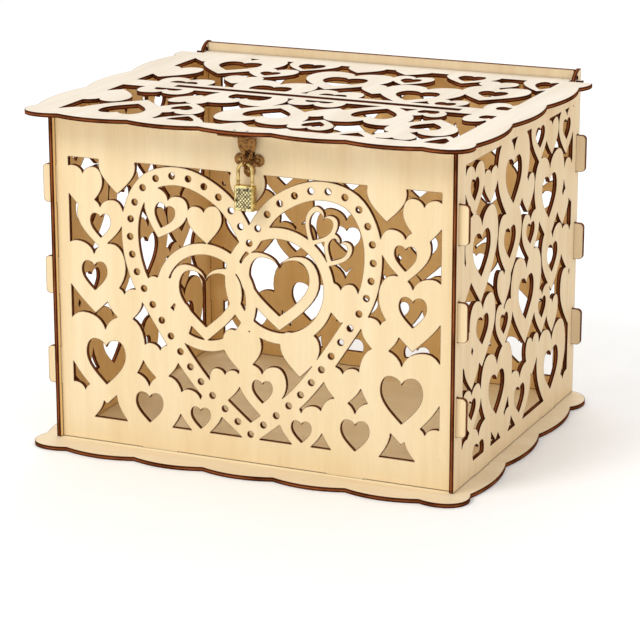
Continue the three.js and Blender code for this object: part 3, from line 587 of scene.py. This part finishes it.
def open_heart(x, width, top, tip, lean, stroke):
    share = 1 - 2 * stroke / width
    lift = 1.35 * stroke
    low = tip + lift * math.cos(math.radians(lean))
    across = x + lift * math.sin(math.radians(lean))
    hole = heart(across, width * share, low + (top - tip) * share, low, lean, -2, PLY + 2)
    return cut(heart(x, width, top, tip, lean), [hole])


def wedding_ring(x, y, radius, width, heart_width):
    ring = cut(disc(x, y, radius, sides=72), [disc(x, y, radius - width, -2, PLY + 2, 64)])
    return join(ring, [open_heart(x, heart_width, y + 22, y - 31, 0, 7.5)])


band_outside, band_inside = band_edge(6.5, 171, 13), band_edge(-6.5, 151, 32)
band = cut(sheet_blank("band", band_outside, -1, PLY + 1), [sheet_blank("field", band_inside, -2, PLY + 2)])
outer_hearts = solid_hearts(front_pairs)
outer_bars = join(outer_hearts[0], outer_hearts[1:])
cut(outer_bars, [sheet_blank("field", band_inside, -2, PLY + 2)])
front_bars = [outer_bars, band] + solid_hearts(front_inside)
front_bars += [wedding_ring(-33, 117, 38, 8, 56), wedding_ring(22, 131, 40.5, 8, 60)]
front_bars += [bar(-138, -134, 20, 24), bar(134, 139, 20, 24)]
front_bars += [open_heart(44.6, 24, 188.5, 161.2, 27, 3.5), open_heart(58, 21, 171, 148.5, 27, 3.5)]
front = cross_wall("front", 236.7)
lattice(front, bar(-137.1, 138.1, 20.6, 206.1), front_bars, heart_openings(front_pairs + front_inside))
dots = band_line(24)
front_holes = [disc(p.x * s, p.y, 2.3, -3, PLY + 3) for p, _ in dots[1:-1] for s in (-1, 1)]
front_holes += [disc(0, p.y, 2.3, -3, PLY + 3) for p, _ in (dots[0], dots[-1])]
front_holes += [disc(x, z, 0.9, -3, PLY + 3, 12) for x, z in ((-5.6, 216), (7.6, 216), (1, 208.6))]
cut(front, front_holes)
front_face = veneer("front veneer", (0.86, 0.71, 0.46), (0.83, 0.665, 0.40), (0, math.radians(90), 0))
# Inside the box the inner faces get a deeper golden tone: painted shade and reflected light. Outside it they
# keep the paler outer tones.
inner_painted_light_tones = (0.92, 0.68, 0.33), (0.87, 0.61, 0.27)
outer_tones = (0.80, 0.66, 0.44), (0.74, 0.58, 0.37)
inner_face = veneer("inner veneer, painted shade inside", *inner_painted_light_tones, (0, math.radians(90), 0), outer_tones)
finish_sheet(front, "front_panel", "box", stand_across("front_panel"), front_face, inner_face, "Y", -1)

# ---- Side and back walls ----
# Three more sheets with a lattice of hearts in a plain frame. The side walls have slots for the
# tabs, and at the top rear a rounded cheek with an arched hole, which the lid's ears turn in.

side_hearts = [
    (-81.3, 38, 221, 185, 16, 211, 196), (-50.8, 28, 212, 188), (-66.5, 64, 187, 123, 34, 172, 141),
    (-6, 66, 226, 161, 33, 210, 178), (-11.3, 48, 174, 126, 23.5, 162.5, 140.5),
    (-62.5, 51, 126, 77, 24, 113, 93), (-21.5, 28, 136, 108), (-20.1, 35, 112, 79, 16, 103.5, 89),
    (-81.5, 30, 95, 66), (-81.1, 37, 68, 34, 16, 59, 45), (-32.5, 64, 82, 16, 32, 65, 35),
    (-66.5, 51, 38, -12, 22, 25, 5), (-15.5, 28, 33, 9), (47.5, 39, 233, 195, 19, 221, 206),
    (73.5, 28, 222, 196), (105.1, 36, 224, 190, 17, 216, 201), (70, 66, 198, 133, 32, 182, 151),
    (24, 28, 192, 165), (31, 37, 164, 129, 17, 156, 141), (24.5, 65, 136, 70, 32, 119, 88),
    (79.5, 48, 142.5, 95, 23, 130, 109), (100.5, 27, 165, 139), (59.5, 35, 103, 68, 16.5, 95, 80),
    (82.5, 26, 90, 63), (40.5, 29, 72, 42), (82.5, 65, 69, 1, 32, 51, 20), (15, 48, 56, 8, 22, 42, 22),
    (110.5, 31, 25, -6), (118, 34, 187, 152), (117, 40, 138, 100), (119, 40, 105, 60),
    (-97, 30, 160, 130), (-98, 28, 34, 6), (-94, 26, 108, 82),
]
BOX_FRONT, BOX_BACK, WALL_TOP, CHEEK_RISE, CHEEK_DEPTH = -113.4, 134.4, 237.0, 10.3, 13.4
AXIS_Y, AXIS_Z = 125.6, 238.8


def side_wall(node, face, inside, outward):
    bottom = PLY + GAP
    quarter = [i * math.pi / 32 for i in range(17)]
    cheek = [(BOX_BACK - CHEEK_DEPTH * math.sin(a), WALL_TOP + CHEEK_RISE * math.cos(a)) for a in quarter]
    outline = [(BOX_FRONT, bottom), (BOX_BACK, bottom)] + cheek + [(BOX_FRONT, WALL_TOP)]
    wall = sheet_blank(node, outline, 0, PLY)
    join(wall, [bar(y - FOOT_HALF, y + FOOT_HALF, GAP, bottom + 1, 0, PLY) for y in SIDE_FEET])
    lattice(wall, bar(-98.5, 119.5, 15, 223), solid_hearts(side_hearts), heart_openings(side_hearts))
    slots = []
    for panel in ("front_panel", "back_panel"):
        near, far = (corner.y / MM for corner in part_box(panel))
        for level in TAB_LEVELS:
            slots.append(bar(near - GAP, far + GAP, level - TAB_HALF - GAP, level + TAB_HALF + GAP))
    turns = [i * math.pi / 10 for i in range(11)]
    arch = [(AXIS_Y + 2.5 * math.cos(a), AXIS_Z + 2.3 + 2.5 * math.sin(a)) for a in turns]
    arch += [(AXIS_Y - 2.5 * math.cos(a), AXIS_Z - 2.5 * math.sin(a)) for a in turns]
    slots.append(sheet_blank("arch", arch, -1, PLY + 1))
    cut(wall, slots)
    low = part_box(node)[0]
    place = Matrix(((0, 0, 1, low.x), (1, 0, 0, 0), (0, 1, 0, 0), (0, 0, 0, 1)))
    finish_sheet(wall, node, "box", place, face, inside, "X", outward)


side_face = veneer("side veneer", (0.80, 0.64, 0.41), (0.75, 0.57, 0.34), (0, math.radians(90), 0))
side_wall("left_side_panel", side_face, inner_face, -1)
side_wall("right_side_panel", side_face, inner_face, 1)

back = cross_wall("back", 247.0)
near_hearts = [h for h in side_hearts if h[0] < 50]
back_right = [(h[0] + 94, *h[1:]) for h in near_hearts]
back_hearts = back_right + mirrored(back_right) + [(0, 44, 146, 100), (0, 68, 84, 20)]
lattice(back, bar(-136, 136, 15, 223), solid_hearts(back_hearts), heart_openings(back_hearts))
finish_sheet(back, "back_panel", "box", stand_across("back_panel"), side_face, inner_face, "Y", 1)

# ---- Lid ----
# A scalloped sheet with two fields of hearts and a card slot between them. Square ears at its rear
# corners turn in the side walls' cheeks, and two holes near its front edge take the hasp's nails.

lid_hearts = [
    (-98, 64, 114.5, 44.5, 32, 94.5, 59.5), (-47, 40, 119, 78, 20, 106.5, 84.5),
    (-63.5, 38, 80, 42, 15, 66.5, 51.5), (-2, 66, 87, 20, 33, 67.5, 34.5),
    (-38, 62, 35, -28, 31, 16.5, -14.5), (-104, 42, 20, -22, 21, 7.5, -13.5),
    (41, 32, 92, 58, 15, 82.5, 65.5), (12.5, 42, 19, -23, 21, 6.5, -14.5),
    (65, 62, 60, -6, 31, 40.5, 6.5), (95, 30, 21, -9, 15, 10.5, -4.5),
    (112, 50, 78, 26, 21, 61.5, 39.5), (137, 40, 121, 74, 18, 109.5, 81.5),
    (140, 36, 24, -20, 16, 11.5, -4.5), (-132, 40, 60, 16), (-130, 32, 116, 84), (-72, 30, 44, 14),
    (-6, 30, 119, 88), (78, 42, 122, 80, 20, 110, 88), (35, 34, 52, 18), (30, 30, 121, 94),
    (104, 30, 97, 70),
]
SLOT_Y = -10


def over_slot(h):
    """The same heart turned over about the card slot."""
    y = [2 * SLOT_Y - value for value in h[2:4]]
    hole = [h[4], 2 * SLOT_Y - h[5], 2 * SLOT_Y - h[6]] if len(h) > 4 else []
    return (h[0], h[1], *y, *hole)


lid_half = scallops(12)
lobe_back = bezier(lid_half[-1], (164.0, 103.0), (165.7, 110.0), (164.0, 118.1), 8)[1:] + [(164.0, 118.1)]
ear = [(146.2, 118.1), (146.2, 124.1), (154.5, 124.1), (154.5, 127.1)]
lid = sheet_blank("lid", both_halves(lid_half + lobe_back + ear), 0, PLY)
lattice(lid, bar(-141, 142, 0.5, 109.5), solid_hearts(lid_hearts), heart_openings(lid_hearts))
front_lid_hearts = [over_slot(h) for h in lid_hearts]
lattice(lid, bar(-141, 142, -118.5, -20.5), solid_hearts(front_lid_hearts), heart_openings(front_lid_hearts))
cut(lid, [bar(-104, 112, SLOT_Y - 3.5, SLOT_Y + 3.5), disc(1, -133, 0.9), disc(10.2, -133, 0.9)])
lid_face = veneer("lid veneer", (0.82, 0.75, 0.64), (0.73, 0.65, 0.53), (0, 0, math.radians(90)))
lid_place = Matrix.Translation((0, 0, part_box("lid_panel")[0].z))
finish_sheet(lid, "lid_panel", "lid", lid_place, lid_face, inner_face, "Z", 1)
bpy.data.meshes.remove(unit_heart.data)

# ---- Hasp ----
# Two stamped brass leaves with a dark antique finish, hinged on a pin under the lid's front edge.
# Domed nails go up through the fixed leaf and the lid; a third hole stays empty.

LATCH_X = 1.0
NAIL, NAIL_HEAD, NAIL_POINT = 0.6, 1.2, 0.82
FLAT_TO_FRONT = Matrix.Rotation(math.pi / 2, 4, "X")


def worn_metal():
    """Cast or stamped metal: bright where it is rubbed, dark with old finish in its hollows."""
    inputs = {"Vector": "Vector", "Bright": "Color", "Dark": "Color", "Hollow": "Float"}
    outputs = {"Colour": "Color", "Height": "Float", "Roughness": "Float"}
    group, enter, leave = new_group("worn metal", inputs, outputs)
    patina = ranged(group, noise(group, enter["Vector"], 420, 5), 0.46, 0.66)
    grit = noise(group, enter["Vector"], 2800, 3)
    cover = worked(group, "MAXIMUM", patina, enter["Hollow"])
    dullness = ranged(group, cover, 0, 1, 0.20, 0.46)
    group.links.new(mixed(group, cover, enter["Bright"], enter["Dark"]), leave["Colour"])
    group.links.new(grit, leave["Height"])
    group.links.new(worked(group, "MULTIPLY_ADD", grit, 0.12, dullness), leave["Roughness"])
    return group


worn = worn_metal()


def metal(name, bright, dark, hollow=None):
    """A worn metal; hollow is an axis and two places on it in mm, dark at the first, bright at the second."""
    material, tree, shader, place = new_finish(name)
    values = {"Vector": place, "Bright": (*bright, 1), "Dark": (*dark, 1)}
    if hollow:
        axis, dark_at, bright_at = hollow
        parts = tree.nodes.new("ShaderNodeSeparateXYZ")
        tree.links.new(place, parts.inputs["Vector"])
        values["Hollow"] = ranged(tree, parts.outputs[axis], dark_at * MM, bright_at * MM, 1, 0)
    surface = use_group(tree, worn, values)
    shader.inputs["Metallic"].default_value = 1
    tree.links.new(surface.outputs["Colour"], shader.inputs["Base Color"])
    tree.links.new(surface.outputs["Roughness"], shader.inputs["Roughness"])
    raise_surface(tree, shader, surface.outputs["Height"], 0.2, 0.00005)
    return material


def soften(piece, width, segments=2):
    """Rounds a piece's sharp edges."""
    bpy.ops.object.select_all(action="DESELECT")
    bpy.context.view_layer.objects.active = piece
    rounding = piece.modifiers.new("rounding", "BEVEL")
    rounding.width = width * MM
    rounding.segments = segments
    rounding.limit_method = "ANGLE"
    rounding.angle_limit = math.radians(40)
    bpy.ops.object.modifier_apply(modifier="rounding")


def finish_metal(piece, node, body, slot, *materials):
    """Gives a metal piece its material and puts it in its node's place."""
    piece.data.materials.clear()
    for material in materials:
        piece.data.materials.append(material)
    bpy.ops.object.select_all(action="DESELECT")
    piece.select_set(True)
    bpy.context.view_layer.objects.active = piece
    bpy.ops.object.shade_smooth_by_angle(angle=math.radians(32))
    piece.name = node + "_metal"
    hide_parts(node)
    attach(piece, body)


def round_bar(radius, x0, x1, y, z, sides=32):
    """A round bar lying along X."""
    lying = disc(0, 0, radius, x0, x1, sides)
    lying.data.transform(Matrix(((0, 0, 1, 0), (1, 0, 0, y * MM), (0, 1, 0, z * MM), (0, 0, 0, 1))))
    return lying


def nail(node, body, slot, place, length, material):
    """A nail with a domed head, its shank along +Z from the head's flat underside."""
    bpy.ops.object.select_all(action="DESELECT")
    bpy.ops.mesh.primitive_uv_sphere_add(segments=28, ring_count=14, radius=NAIL_HEAD * MM)
    head = bpy.context.object
    head.data.transform(Matrix.Diagonal((1, 1, 0.5, 1)))
    cut(head, [bar(-2, 2, -2, 2, 0, 3)])
    shank = disc(0, 0, NAIL, -0.2, length - NAIL_POINT + 0.02, 20)
    bpy.ops.object.select_all(action="DESELECT")
    point = {"radius1": NAIL * MM, "radius2": 0.02 * MM, "depth": NAIL_POINT * MM}
    bpy.ops.mesh.primitive_cone_add(vertices=20, **point)
    tip = bpy.context.object
    tip.data.transform(Matrix.Translation((0, 0, (length - NAIL_POINT / 2) * MM)))
    join(head, [shank, tip])
    head.data.transform(place)
    finish_metal(head, node, body, slot, material)


bronze = metal("antique bronze", (0.26, 0.125, 0.040), (0.105, 0.045, 0.016))
BARREL_Y, BARREL_Z, BARREL, PIN = -114.2, 234.2, 1.7, 0.6
LEAF_TOP, LEAF, LEAF_HALF, KNUCKLE, NAIL_Y = 237.0, 0.8, 6.8, 2.4, -133.0
HOLE_STEP, LOBE, NAIL_HOLE, LID_TOP = 9.2, 3.3, 0.9, 240.3


def arc(x, y, radius, start, end, steps):
    turns = [math.radians(start + (end - start) * i / steps) for i in range(steps + 1)]
    return [(x + radius * math.cos(a), y + radius * math.sin(a)) for a in turns]


def pin_bore():
    return round_bar(PIN + GAP, LATCH_X - 12, LATCH_X + 12, BARREL_Y, BARREL_Z, 24)


neck = BARREL_Y - 6
fixed_outline = arc(LATCH_X - HOLE_STEP, NAIL_Y, LOBE, 180, 270, 10)
fixed_outline += arc(LATCH_X + HOLE_STEP, NAIL_Y, LOBE, 270, 360, 10)
fixed_outline += [(LATCH_X + LEAF_HALF, neck), (LATCH_X + LEAF_HALF, BARREL_Y)]
fixed_outline += [(LATCH_X - LEAF_HALF, BARREL_Y), (LATCH_X - LEAF_HALF, neck)]
fixed_leaf = sheet_blank("fixed leaf", fixed_outline, LEAF_TOP - LEAF, LEAF_TOP)
soften(fixed_leaf, 0.15)
outer_from = KNUCKLE + 0.4
rolled = []
for low, high in ((LATCH_X - LEAF_HALF, LATCH_X - outer_from), (LATCH_X + outer_from, LATCH_X + LEAF_HALF)):
    rolled.append(round_bar(BARREL, low, high, BARREL_Y, BARREL_Z))
    rolled.append(bar(low, high, BARREL_Y - LEAF, BARREL_Y, BARREL_Z, LEAF_TOP - 0.01))
join(fixed_leaf, rolled)
leaf_gaps = [disc(LATCH_X + step, NAIL_Y, NAIL_HOLE, 230, 240) for step in (-HOLE_STEP, 0, HOLE_STEP)]
leaf_gaps += [bar(LATCH_X - outer_from, LATCH_X + outer_from, BARREL_Y - 2.2, 0, 200, 240), pin_bore()]
cut(fixed_leaf, leaf_gaps)
finish_metal(fixed_leaf, "hasp_fixed_leaf", "lid", "bronze", bronze)

pin = round_bar(PIN, LATCH_X - LEAF_HALF - 0.4, LATCH_X + LEAF_HALF + 0.4, BARREL_Y, BARREL_Z, 24)
soften(pin, 0.15, 3)
finish_metal(pin, "hasp_hinge_pin", "lid", "bronze", bronze)

shoulder = BARREL_Z - BARREL - 2 * GAP
taper = ((3.8, 221.4), (5.4, 222.6), (LEAF_HALF, 224), (LEAF_HALF, 229.5))
right_edge = bezier(*taper, 12) + [taper[-1], (LEAF_HALF, shoulder)]
swing_right = [(1.4, 217.4), (3.4, 217.4)] + right_edge + [(KNUCKLE, shoulder), (KNUCKLE, BARREL_Z)]
swing_slot = arc(0, 221.6, 1.4, 180, 0, 14)
swing_outline = swing_right + [(-x, y) for x, y in reversed(swing_right)] + swing_slot
swing_leaf = sheet_blank("swing leaf", [(LATCH_X + x, y) for x, y in swing_outline], -LEAF / 2, LEAF / 2)
soften(swing_leaf, 0.15)
swing_leaf.data.transform(Matrix.Translation((0, BARREL_Y * MM, 0)) @ FLAT_TO_FRONT)
join(swing_leaf, [round_bar(BARREL, LATCH_X - KNUCKLE, LATCH_X + KNUCKLE, BARREL_Y, BARREL_Z)])
cut(swing_leaf, [pin_bore()])
finish_metal(swing_leaf, "hasp_swing_leaf", "hasp_leaf", "bronze", bronze)

nail_head_at = LEAF_TOP - LEAF - GAP
steel = metal("nail steel", (0.42, 0.38, 0.33), (0.10, 0.075, 0.05))
for number, x in ((1, LATCH_X), (2, LATCH_X + HOLE_STEP)):
    spot = Matrix.Translation((x * MM, NAIL_Y * MM, nail_head_at * MM))
    nail(f"hasp_nail_{number}", "lid", "steel", spot, LID_TOP - nail_head_at, steel)

# ---- Staple on the front wall ----
# A stamped plate with three round lobes, nailed to the front wall, and a wire loop through it that
# the padlock hangs from. The same antique bronze, with yellower nails.

PLATE_BACK, PLATE_FACE, STAPLE_LOW, STAPLE_HIGH = -110.4, -111.2, 212.6, 220.4
STAPLE_TIP, LOOP_WIRE, WALL_BACK = -120.4, 0.8, -107.1
plate_spots = ((LATCH_X - 6.6, 216.0), (LATCH_X + 6.6, 216.0), (LATCH_X, 208.6))
plate = bar(LATCH_X - 4, LATCH_X + 4, STAPLE_LOW - 3, STAPLE_HIGH + 2, 0, 0.8)
join(plate, [disc(x, z, 4.2, 0, 0.8, 40) for x, z in plate_spots])
plate_holes = [disc(x, z, NAIL_HOLE) for x, z in plate_spots]
plate_holes += [disc(LATCH_X, z, LOOP_WIRE + GAP) for z in (STAPLE_LOW, STAPLE_HIGH)]
cut(plate, plate_holes)
soften(plate, 0.14)
plate.data.transform(Matrix.Translation((0, PLATE_BACK * MM, 0)) @ FLAT_TO_FRONT)
finish_metal(plate, "staple_plate", "box", "bronze", bronze)


def hoop(name, wire, bend, first, second, place):
    """A round wire with two straight legs, first and second, joined by half a turn."""
    bpy.ops.object.select_all(action="DESELECT")
    bpy.ops.mesh.primitive_circle_add(vertices=24, radius=wire * MM)
    loop = bpy.context.object
    loop.name = name
    loop.data.transform(Matrix.Translation((-bend * MM, 0, -first * MM)))
    bpy.ops.object.mode_set(mode="EDIT")
    bpy.ops.mesh.select_all(action="SELECT")
    bpy.ops.mesh.extrude_region_move(TRANSFORM_OT_translate={"value": (0, 0, first * MM)})
    bpy.ops.mesh.spin(steps=24, angle=-math.pi, center=(0, 0, 0), axis=(0, 1, 0))
    bpy.ops.mesh.extrude_region_move(TRANSFORM_OT_translate={"value": (0, 0, -second * MM)})
    bpy.ops.mesh.select_all(action="SELECT")
    bpy.ops.mesh.remove_doubles(threshold=0.001 * MM)
    bpy.ops.mesh.fill_holes(sides=0)
    bpy.ops.mesh.select_all(action="SELECT")
    bpy.ops.mesh.normals_make_consistent(inside=False)
    bpy.ops.object.mode_set(mode="OBJECT")
    loop.data.transform(place)
    return loop


staple_bend = (STAPLE_HIGH - STAPLE_LOW) / 2
bend_y = STAPLE_TIP + staple_bend
staple_leg = PLATE_BACK - 0.05 - bend_y
forwards = Matrix(((0, 1, 0, 0), (0, 0, -1, 0), (-1, 0, 0, 0), (0, 0, 0, 1)))
bend_middle = Matrix.Translation((LATCH_X * MM, bend_y * MM, (STAPLE_LOW + staple_bend) * MM))
staple = hoop("staple", LOOP_WIRE, staple_bend, staple_leg, staple_leg, bend_middle @ forwards)
finish_metal(staple, "staple_loop", "box", "bronze", bronze)

nail_brass = metal("nail brass", (0.42, 0.26, 0.09), (0.16, 0.085, 0.03))
into_wall = Matrix.Rotation(-math.pi / 2, 4, "X")
for number, (x, z) in enumerate(plate_spots, 1):
    spot = Matrix.Translation((x * MM, (PLATE_FACE - GAP) * MM, z * MM))
    nail(f"plate_nail_{number}", "box", "brass", spot @ into_wall, WALL_BACK - PLATE_FACE + GAP, nail_brass)

# ---- Padlock ----
# A little die-cast padlock plated yellow brass: a body with a plain rim round a panel of diamond
# points, dark in the grooves, a thick bright shackle, and a key plug in its underside.

LOCK_X, LOCK_Y, LOCK_LOW, LOCK_HIGH, LEG_X = LATCH_X, -117.4, 183.0, 200.0, 5.2
LOCK_HALF, LOCK_HALF_DEPTH, LOCK_CORNER, SHACKLE_WIRE, PLUG = 7.2, 3.0, 1.2, 1.2, 2.0
brass = metal("plated brass", (0.66, 0.49, 0.17), (0.30, 0.20, 0.06))
shackle_brass = metal("polished brass", (0.72, 0.54, 0.22), (0.36, 0.24, 0.08))
knurled = metal("knurled brass", (0.90, 0.78, 0.42), (0.030, 0.024, 0.010), ("Y", -120.02, -120.13))
corner_x, corner_y = LOCK_HALF - LOCK_CORNER, LOCK_HALF_DEPTH - LOCK_CORNER
corners = []
for x, y, start in ((1, -1, -90), (1, 1, 0), (-1, 1, 90), (-1, -1, 180)):
    corners += arc(x * corner_x, y * corner_y, LOCK_CORNER, start, start + 90, 8)
lock = sheet_blank("lock", [(LOCK_X + x, LOCK_Y + y) for x, y in corners], LOCK_LOW, LOCK_HIGH)
soften(lock, 0.45, 3)
panel = (LOCK_X - 5.5, LOCK_X + 5.5)
cut(lock, [bar(*panel, LOCK_Y - 4, LOCK_Y - 2.5, 184.7, 198.3)])
bpy.ops.object.select_all(action="DESELECT")
bpy.ops.mesh.primitive_grid_add(x_subdivisions=16, y_subdivisions=16, size=16 * MM)
points = bpy.context.object
bpy.ops.object.mode_set(mode="EDIT")
bpy.ops.mesh.select_all(action="SELECT")
bpy.ops.mesh.poke(offset=0.32 * MM)
bpy.ops.mesh.select_all(action="SELECT")
bpy.ops.mesh.extrude_region_move(TRANSFORM_OT_translate={"value": (0, 0, 1.5 * MM)})
bpy.ops.mesh.select_all(action="SELECT")
bpy.ops.mesh.normals_make_consistent(inside=False)
bpy.ops.object.mode_set(mode="OBJECT")
diamonds = Matrix.Diagonal((1.65, 1.95, 1, 1)) @ Matrix.Rotation(math.pi / 4, 4, "Z")
points.data.transform(diamonds @ Matrix.Translation((0, 0, -1.5 * MM)))
points.data.transform(Matrix.Translation((LOCK_X * MM, -119.98 * MM, 191.5 * MM)) @ FLAT_TO_FRONT)
boolean(points, [bar(*panel, LOCK_Y - 4, LOCK_Y - 2.2, 184.7, 198.3)], "INTERSECT")
join(lock, [points])
bores = [disc(LOCK_X + x, LOCK_Y, SHACKLE_WIRE + GAP, 184.5, 201, 28) for x in (-LEG_X, LEG_X)]
bores += [disc(LOCK_X, LOCK_Y, PLUG + GAP, 182, 193.3, 32)]
bores += [bar(LOCK_X - 3.2, LOCK_X + LEG_X, LOCK_Y - 1.2, LOCK_Y + 1.2, 195.4, 197.4)]
bores += [bar(LOCK_X - 1.2, LOCK_X + 1.2, LOCK_Y - 1.2, LOCK_Y + 1.2, 193, 196.4)]
cut(lock, bores)
finish_metal(lock, "padlock_body", "lock", "brass", brass, knurled)
for face in lock.data.polygons:
    middle = face.center / MM
    inside = abs(middle.x - LOCK_X) < 5.55 and 184.6 < middle.z < 198.4
    face.material_index = 1 if inside and middle.y < -119.85 else 0

bend_z, heel_z, toe_z = 209.7, 187.0, 194.0
upright = Matrix.Translation((LOCK_X * MM, LOCK_Y * MM, bend_z * MM))
shackle = hoop("shackle", SHACKLE_WIRE, LEG_X, bend_z - heel_z, bend_z - toe_z, upright)
cut(shackle, [bar(LOCK_X + LEG_X - 2, LOCK_X + LEG_X - 0.4, LOCK_Y - 2, LOCK_Y + 2, 195.5, 197.3)])
finish_metal(shackle, "padlock_shackle", "shackle", "brass", shackle_brass)

plug = disc(LOCK_X, LOCK_Y, PLUG, 183.4, 193, 32)
soften(plug, 0.2)
cut(plug, [bar(LOCK_X - 0.4, LOCK_X + 0.4, LOCK_Y - 1.4, LOCK_Y + 1.4, 183, 191)])
finish_metal(plug, "padlock_plug", "key_plug", "brass", brass)

spring_steel = metal("spring steel", (0.55, 0.54, 0.52), (0.20, 0.19, 0.18))
for hidden in ("padlock_bolt", "padlock_spring"):
    inner_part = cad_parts[hidden]
    inner_part.data.materials.clear()
    inner_part.data.materials.append(spring_steel)
